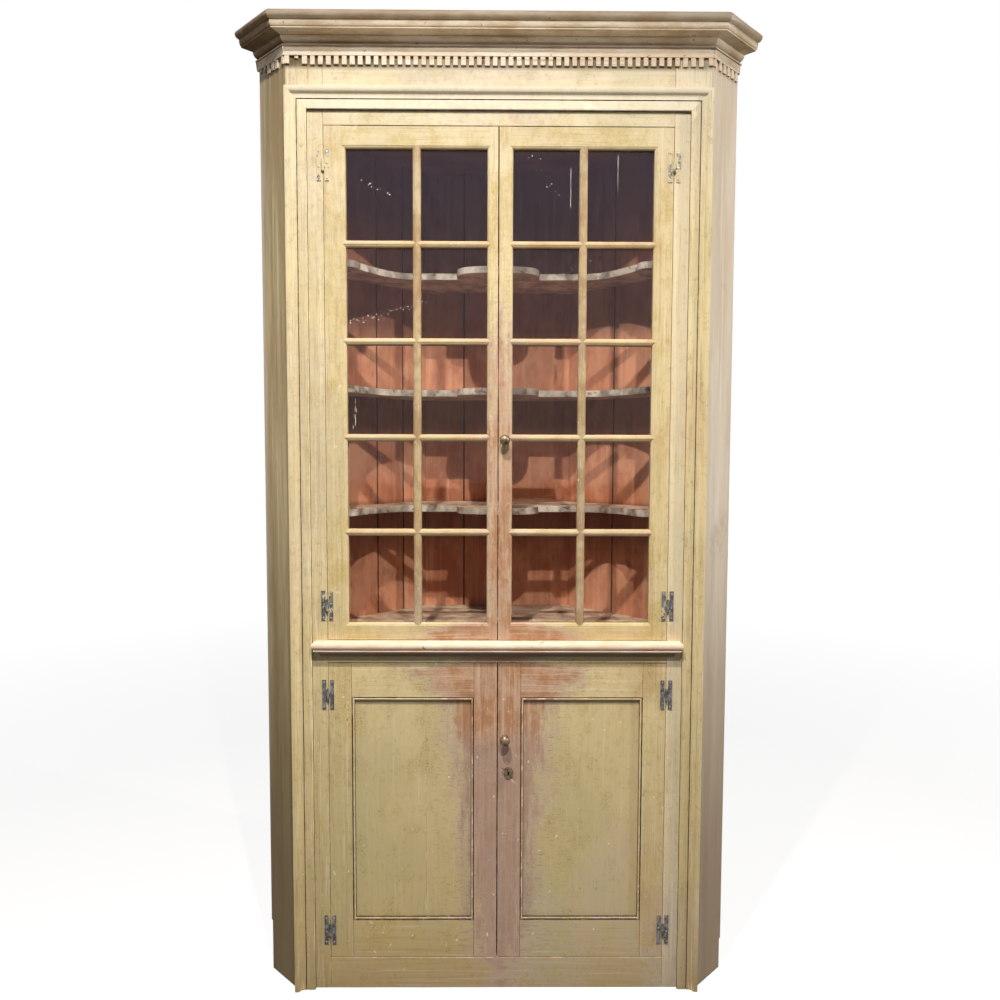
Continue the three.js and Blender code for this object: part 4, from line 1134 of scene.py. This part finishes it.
# Specks of paint on the panes. Small drops spattered in bands when the room was painted, and
# a few thin scratches, pale against the dark inside.
drop_radius, drop_flat, drop_wander, drop_sunk = 0.0017, 0.3, 0.0001, 0.0002
clear_of_stiles, clear_of_bars = 0.002, 0.01
drop_step, band_step, turn_step, drop_sizes = 7.313, 3.717, 1.931, (0.1, 0, 0.1)
drop_shape = bmesh.new()
bmesh.ops.create_icosphere(drop_shape, subdivisions=2, radius=drop_radius)
for vertex in drop_shape.verts:
    vertex.co.y *= drop_flat
drop = worked("paint_drop", drop_shape, spacing=0, wander=drop_wander, low=below_floor)
drop_paint, place = new_finish("spattered_paint")
thick = cloud(place, (400, 400, 400), 3, 0.6)
settle(drop_paint, coats((206, 198, 186), (span(thick, 0.4, 0.6), (244, 238, 226))), 0.6)
spatters = {
    "left_glazed_door": [
        ((-0.357, 1.612), (-0.172, 1.653), 0.016, 48, (0.6, 1, 0.6)),
        ((-0.322, 1.941), (-0.250, 1.905), 0.010, 8, (0.8, 1, 0.8)),
        ((-0.340, 1.36), (-0.336, 1.43), 0.008, 9, (0.25, 0.5, 3.0)),
    ],
    "right_glazed_door": [
        ((0.206, 1.782), (0.221, 1.777), 0.010, 16, (0.9, 1, 0.9)),
        ((0.132, 1.724), (0.213, 1.760), 0.016, 16, (0.5, 1, 0.5)),
        ((0.050, 2.020), (0.140, 1.900), 0.030, 16, (0.5, 1, 0.5)),
        ((0.1672, 1.884), (0.1672, 1.960), 0.0004, 5, (0.35, 0.5, 9.0)),
        ((0.2764, 1.920), (0.2764, 1.985), 0.0003, 4, (0.3, 0.5, 8.0)),
    ],
}
for door, bands in spatters.items():
    body, opened = openings[door]
    points = []
    for band, (start, end, spread, count, size) in enumerate(bands):
        for i in range(count):
            spot = Vector((i * drop_step, band * band_step, i * turn_step))
            stray = noise.noise_vector(spot)
            share = (i + 0.5 + stray.y) / count
            x = start[0] + (end[0] - start[0]) * share + stray.x * spread
            z = start[1] + (end[1] - start[1]) * share + stray.z * spread
            on_glass = any(
                low_x + clear_of_stiles < x < high_x - clear_of_stiles
                and low_z + clear_of_bars < z < high_z - clear_of_bars
                for low_x, low_z, high_x, high_z in opened
            )
            if on_glass:
                grown = tuple(value * (1 + stray.y) for value in size)
                points.append(((x, face_plane + glass_front - drop_sunk, z), unturned, grown))
    drops = scattered(door + "_drops", drop, points, drop_paint, len(points), drop_sizes)
    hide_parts(door + "_glass")
    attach(drops, body)
bpy.data.objects.remove(drop)

# Panelled doors. Two stiles and two rails round a flat panel loose in its groove, painted
# like the sashes. The left panel is glued up from two boards.
left_panel_joint = Vector((-0.172, 0, 0))
panel_doors = {
    "left_panel_door": (-1, "left_lower_door", {
        "left_board": [(left_panel_joint, -side_ways)],
        "right_board": [(left_panel_joint, side_ways)],
    }),
    "right_panel_door": (1, "right_lower_door", {"board": []}),
}
lower_stile_paint = old_paint(
    "lower_stile_paint", "Z", mustard=0.4, haze=0.4, age=0.9, brushed=0.7,
)
lower_rail_paint = old_paint(
    "lower_rail_paint", "X", mustard=0.4, haze=0.4, age=0.9, brushed=0.6,
)
panel_paint = old_paint(
    "panel_paint", "Z", mustard=0.35, haze=0.45, age=1.0, brushed=0.5,
    wash_and_painted_light=((206, 190, 142), 0.45),
)
panel_foot, panel_head = 0.0785, 0.8055
panel_stile, panel_top_rail, panel_bottom_rail = 0.062, 0.090, 0.100
bead_width, quirk_width, quirk_depth, bead_drop = 0.0068, 0.0013, 0.0022, 0.0027
bead_sunk, bead_side, bead_steps, bead_rise, beaded_ease = 0.0004, 0.0009, 8, 0.0005, 0.0006
quirk_dirt_and_shade_to, bead_rubbed_to, bead_dirt_and_shade_from = 0.0018, 0.0052, bead_width - 0.0011
panel_front, panel_back, groove_depth = 0.0072, 0.0155, 0.009


def beaded_outline(width):
    """A stile or rail from its outer edge to its sight line, with a quirk and a bead run on it
    and the panel's groove behind."""
    bead = width - bead_width
    points = [
        (0.0, door_thickness), (0.0, 0.0), (bead - bead_side, 0.0), (bead, 0.0),
        (bead + bead_sunk, quirk_depth), (bead + quirk_width, quirk_depth),
    ]
    radius = (bead_width - quirk_width) / 2
    for i in range(bead_steps + 1):
        turn = math.pi * i / bead_steps
        fall = quirk_depth - bead_rise if i < bead_steps / 2 else bead_drop
        deep = bead_sunk + fall * (1 - math.sin(turn))
        points.append((width - radius - radius * math.cos(turn), deep))
    return points + [
        (width, panel_front), (width - groove_depth, panel_front),
        (width - groove_depth, panel_back), (width, panel_back), (width, door_thickness),
    ]


keyhole_centre = Vector((0.02725, face_plane, 0.538))
eye_radius, eye_from, eye_round, eye_steps = 0.0031, math.radians(-60), math.radians(300), 16
slot_half_width, slot_length, cutter_ends = 0.0016, 0.0105, (-0.01, 0.04)
keyhole = []
for k in range(eye_steps + 1):
    turn = eye_from + eye_round * k / eye_steps
    keyhole.append((math.cos(turn) * eye_radius, math.sin(turn) * eye_radius))
keyhole += [(-slot_half_width, -slot_length), (slot_half_width, -slot_length)]
for door, (side, body, boards) in panel_doors.items():
    inner_way = side_ways * -side
    hinge_line = Vector((side * hinge_edge, face_plane, panel_foot))
    meeting_foot = Vector((side * meeting_edges, face_plane, panel_foot))
    rail_length = hinge_edge - meeting_edges - 2 * panel_stile
    rail_start = hinge_line + inner_way * panel_stile
    rise = straight_up * (panel_head - panel_foot)
    members = {
        "hinge_stile": (panel_stile, hinge_line, straight_up, inner_way, rise.z),
        "meeting_stile": (panel_stile, meeting_foot, straight_up, -inner_way, rise.z),
        "top_rail": (panel_top_rail, rail_start + rise, inner_way, -straight_up, rail_length),
        "bottom_rail": (panel_bottom_rail, rail_start, inner_way, straight_up, rail_length),
    }
    for part, (width, start, along, across, length) in members.items():
        node = f"{door}_{part}"
        is_stile = part.endswith("stile")

        def bead_mitre(a, d):
            return -min(bead_width, max(0.0, width - a))

        def past_quirk(at):
            return (at - start).dot(across) - (width - bead_width)

        mitre = None if is_stile else bead_mitre
        member = run(
            node + "_wood", beaded_outline(width), start, along, across, inward, length,
            mitre, mitre, beaded_ease,
        )
        if node == "right_panel_door_meeting_stile":
            shape = lofted([
                [keyhole_centre + Vector((x, deep, z)) for x, z in keyhole]
                for deep in cutter_ends
            ])
            bore = member.modifiers.new("bore", "BOOLEAN")
            bore.operation = "DIFFERENCE"
            bore.solver = "EXACT"
            bore.object = worked("keyhole_cutter", shape, spacing=0, wander=0)
            bpy.context.view_layer.update()
            evaluated = member.evaluated_get(bpy.context.evaluated_depsgraph_get())
            member.data = bpy.data.meshes.new_from_object(evaluated)
            bpy.data.objects.remove(bore.object)
            member.modifiers.remove(bore)
        # Painted shade, with dirt, in the quirk and at the bead's foot beside the panel.
        mark(member, "dirt_and_shade", lambda at, facing: (
            -bead_side < past_quirk(at) < quirk_dirt_and_shade_to
            or (past_quirk(at) > bead_dirt_and_shade_from and facing.y < 0.5)
        ))
        mark(member, "arris", lambda at, facing: (
            quirk_dirt_and_shade_to < past_quirk(at) < bead_rubbed_to and facing.y < 0
        ))
        paint_faces(member, lower_stile_paint if is_stile else lower_rail_paint, inner_salmon)
        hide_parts(node)
        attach(member, body)
    for suffix, keep in boards.items():
        panel = from_frame(door + "_panel", f"{door}_panel_{suffix}", keep=keep)
        paint_faces(panel, panel_paint, inner_salmon)
        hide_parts(door + "_panel")
        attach(panel, body)

# Hinges. Wrought iron H hinges, screwed to the faces. The upper ones are painted over, the
# lower ones are dark and rubbed.
hinge_ease, iron_wander = 0.0005, 0.0001
screw_radius, screw_proud, screw_steps = 0.0024, 0.0008, 16
screw_edge, screw_rise, middle_screw_rise, leaf_thickness = 0.0047, 0.030, 0.004, 0.0023
screw_lean, screw_sizes = 0.3, (0.08, 0, 0.08)


def iron_finish(name, painted):
    material, place = new_finish(name)
    rust = cloud(place, (90, 90, 60), 6, 0.7)
    cover = cloud(place, (60, 60, 45), 5, 0.65, 4.0)
    chalk = span(cover, 0.68 - painted * 0.4, 0.76 - painted * 0.4)
    layer = coats(
        (92, 92, 92),
        (span(rust, 0.42, 0.62), (158, 158, 156)),
        (span(rust, 0.62, 0.72, 0.6), (122, 98, 76)),
        (chalk, (214, 200, 162)),
        (worn_arris(place, 0.5), (150, 142, 132)),
    )
    bare = calc("SUBTRACT", 0.45, times(chalk, 0.45))
    return settle(material, layer, 0.55, calc("ADD", rust, cover), depth=0.0006, metallic=bare)


def turned(name, outline, centre, steps, low=cad_low):
    """Turns an outline of radius and reach about the axis that comes out of the face."""
    sections = []
    for radius, reach in outline:
        turns = [2 * math.pi * k / steps for k in range(steps if radius else 1)]
        sections.append([
            centre + Vector((math.cos(turn) * radius, -reach, math.sin(turn) * radius))
            for turn in turns
        ])
    return worked(name, lofted(sections), spacing=0, wander=0, low=low)


dark_iron = iron_finish("dark_iron", 0.12)
hinge_irons = {
    ("upper", "top"): iron_finish("painted_iron", 0.74),
    ("upper", "bottom"): iron_finish("half_painted_iron", 0.34),
    ("lower", "top"): dark_iron,
    ("lower", "bottom"): dark_iron,
}
screw_outline = [
    (0.7 * screw_radius, screw_proud),
    (screw_radius, screw_proud - 0.18 * screw_radius),
    (screw_radius, screw_proud - 0.5 * screw_radius),
]
screw = turned("screw_head", screw_outline, Vector((0, 0, 0)), screw_steps, below_floor)
screw_metal, place = new_finish("screw_metal")
shine = cloud(place, (300, 300, 300), 3, 0.6)
shade = coats((130, 122, 110), (span(shine, 0.4, 0.6), (214, 208, 196)))
settle(screw_metal, shade, 0.45, metallic=0.7)
for (door_level, end), iron in hinge_irons.items():
    for side, side_name in ((-1, "left"), (1, "right")):
        door_body = f"{side_name}_{door_level}_door"
        for leaf, body, beyond in (("frame_leaf", "case", 1), ("door_leaf", door_body, -1)):
            node = f"{side_name}_{door_level}_{end}_hinge_{leaf}"
            plate = from_frame(node, node + "_plate", ease=hinge_ease, wander=iron_wander)
            paint_faces(plate, iron)
            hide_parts(node)
            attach(plate, body)
            low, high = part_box(node)
            screw_x = high.x - screw_edge if side * beyond > 0 else low.x + screw_edge
            level = (low.z + high.z) / 2
            surface = face_plane - leaf_thickness
            points = [
                ((screw_x, surface, level + rise), (0, screw_lean * rise, 0), whole)
                for rise in (-screw_rise, -middle_screw_rise * beyond, screw_rise)
            ]
            heads = scattered(
                node + "_screws", screw, points, screw_metal, len(node), screw_sizes,
            )
            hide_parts(node)
            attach(heads, body)
bpy.data.objects.remove(screw)

# Latch knobs. Turned brass knobs on a spindle through the right door, with an iron tongue
# pinned across its inner end, which holds the left door shut as well.
lathe_steps = 40
knob_outline = [
    (0.0, 0.0270), (0.0035, 0.0268), (0.0070, 0.0256), (0.0100, 0.0232), (0.0120, 0.0199),
    (0.0125, 0.0168), (0.0118, 0.0139), (0.0098, 0.0113), (0.0072, 0.0094), (0.0062, 0.0082),
    (0.0060, 0.0062), (0.0061, 0.0044), (0.0070, 0.0036), (0.0090, 0.0033), (0.0095, 0.0026),
    (0.0095, 0.0008), (0.0090, 0.0003), (0.0045, 0.0003), (0.0045, -0.0222), (0.0, -0.0222),
]
tongue_width, tongue_tip_share, tongue_back, tongue_thickness = 0.014, 0.72, 0.0223, 0.005
tongue_rise, tongue_drop, latch_ease, latch_spacing = 0.007, 0.034, 0.001, 0.012
brass, place = new_finish("worn_brass")
tarnish = cloud(place, (110, 110, 110), 5, 0.65)
shade = coats((152, 134, 108), (span(tarnish, 0.54, 0.36), (88, 74, 58)))
gloss = span(tarnish, 0.3, 0.7, 0.5, 0.28)
settle(brass, shade, gloss, tarnish, depth=0.0003, metallic=0.6)
knobs = {
    "upper_latch": Vector((0.01575, face_plane, 1.338)),
    "lower_latch": Vector((0.01825, face_plane, 0.623)),
}
for body, centre in knobs.items():
    node = body + "_knob"
    knob = turned(node + "_turning", knob_outline, centre, lathe_steps)
    paint_faces(knob, brass)
    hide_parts(node)
    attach(knob, body)
    tongue_shape = bmesh.new()
    bmesh.ops.create_cube(tongue_shape, size=1)
    for vertex in tongue_shape.verts:
        is_tip = vertex.co.z < 0
        vertex.co = centre + Vector((
            vertex.co.x * tongue_width * (tongue_tip_share if is_tip else 1.0),
            tongue_back + (vertex.co.y + 0.5) * tongue_thickness,
            -tongue_drop if is_tip else tongue_rise,
        ))
    eased(tongue_shape, latch_ease)
    tongue = worked(node + "_tongue", tongue_shape, latch_spacing, iron_wander)
    paint_faces(tongue, dark_iron)
    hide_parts(node)
    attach(tongue, body)

# Lock. An iron case screwed behind the right lower door, its bolt, and a brass escutcheon
# round the keyhole.
for node, body, finish, slot, ease in (
    ("lock_case", "right_lower_door", dark_iron, "iron", 0.001),
    ("lock_bolt", "lock_bolt_body", dark_iron, "iron", 0.0008),
    ("keyhole_escutcheon", "right_lower_door", brass, "brass", 0.0004),
):
    part = from_frame(node, node + "_metal", ease=ease, wander=iron_wander)
    paint_faces(part, finish)
    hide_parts(node)
    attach(part, body)
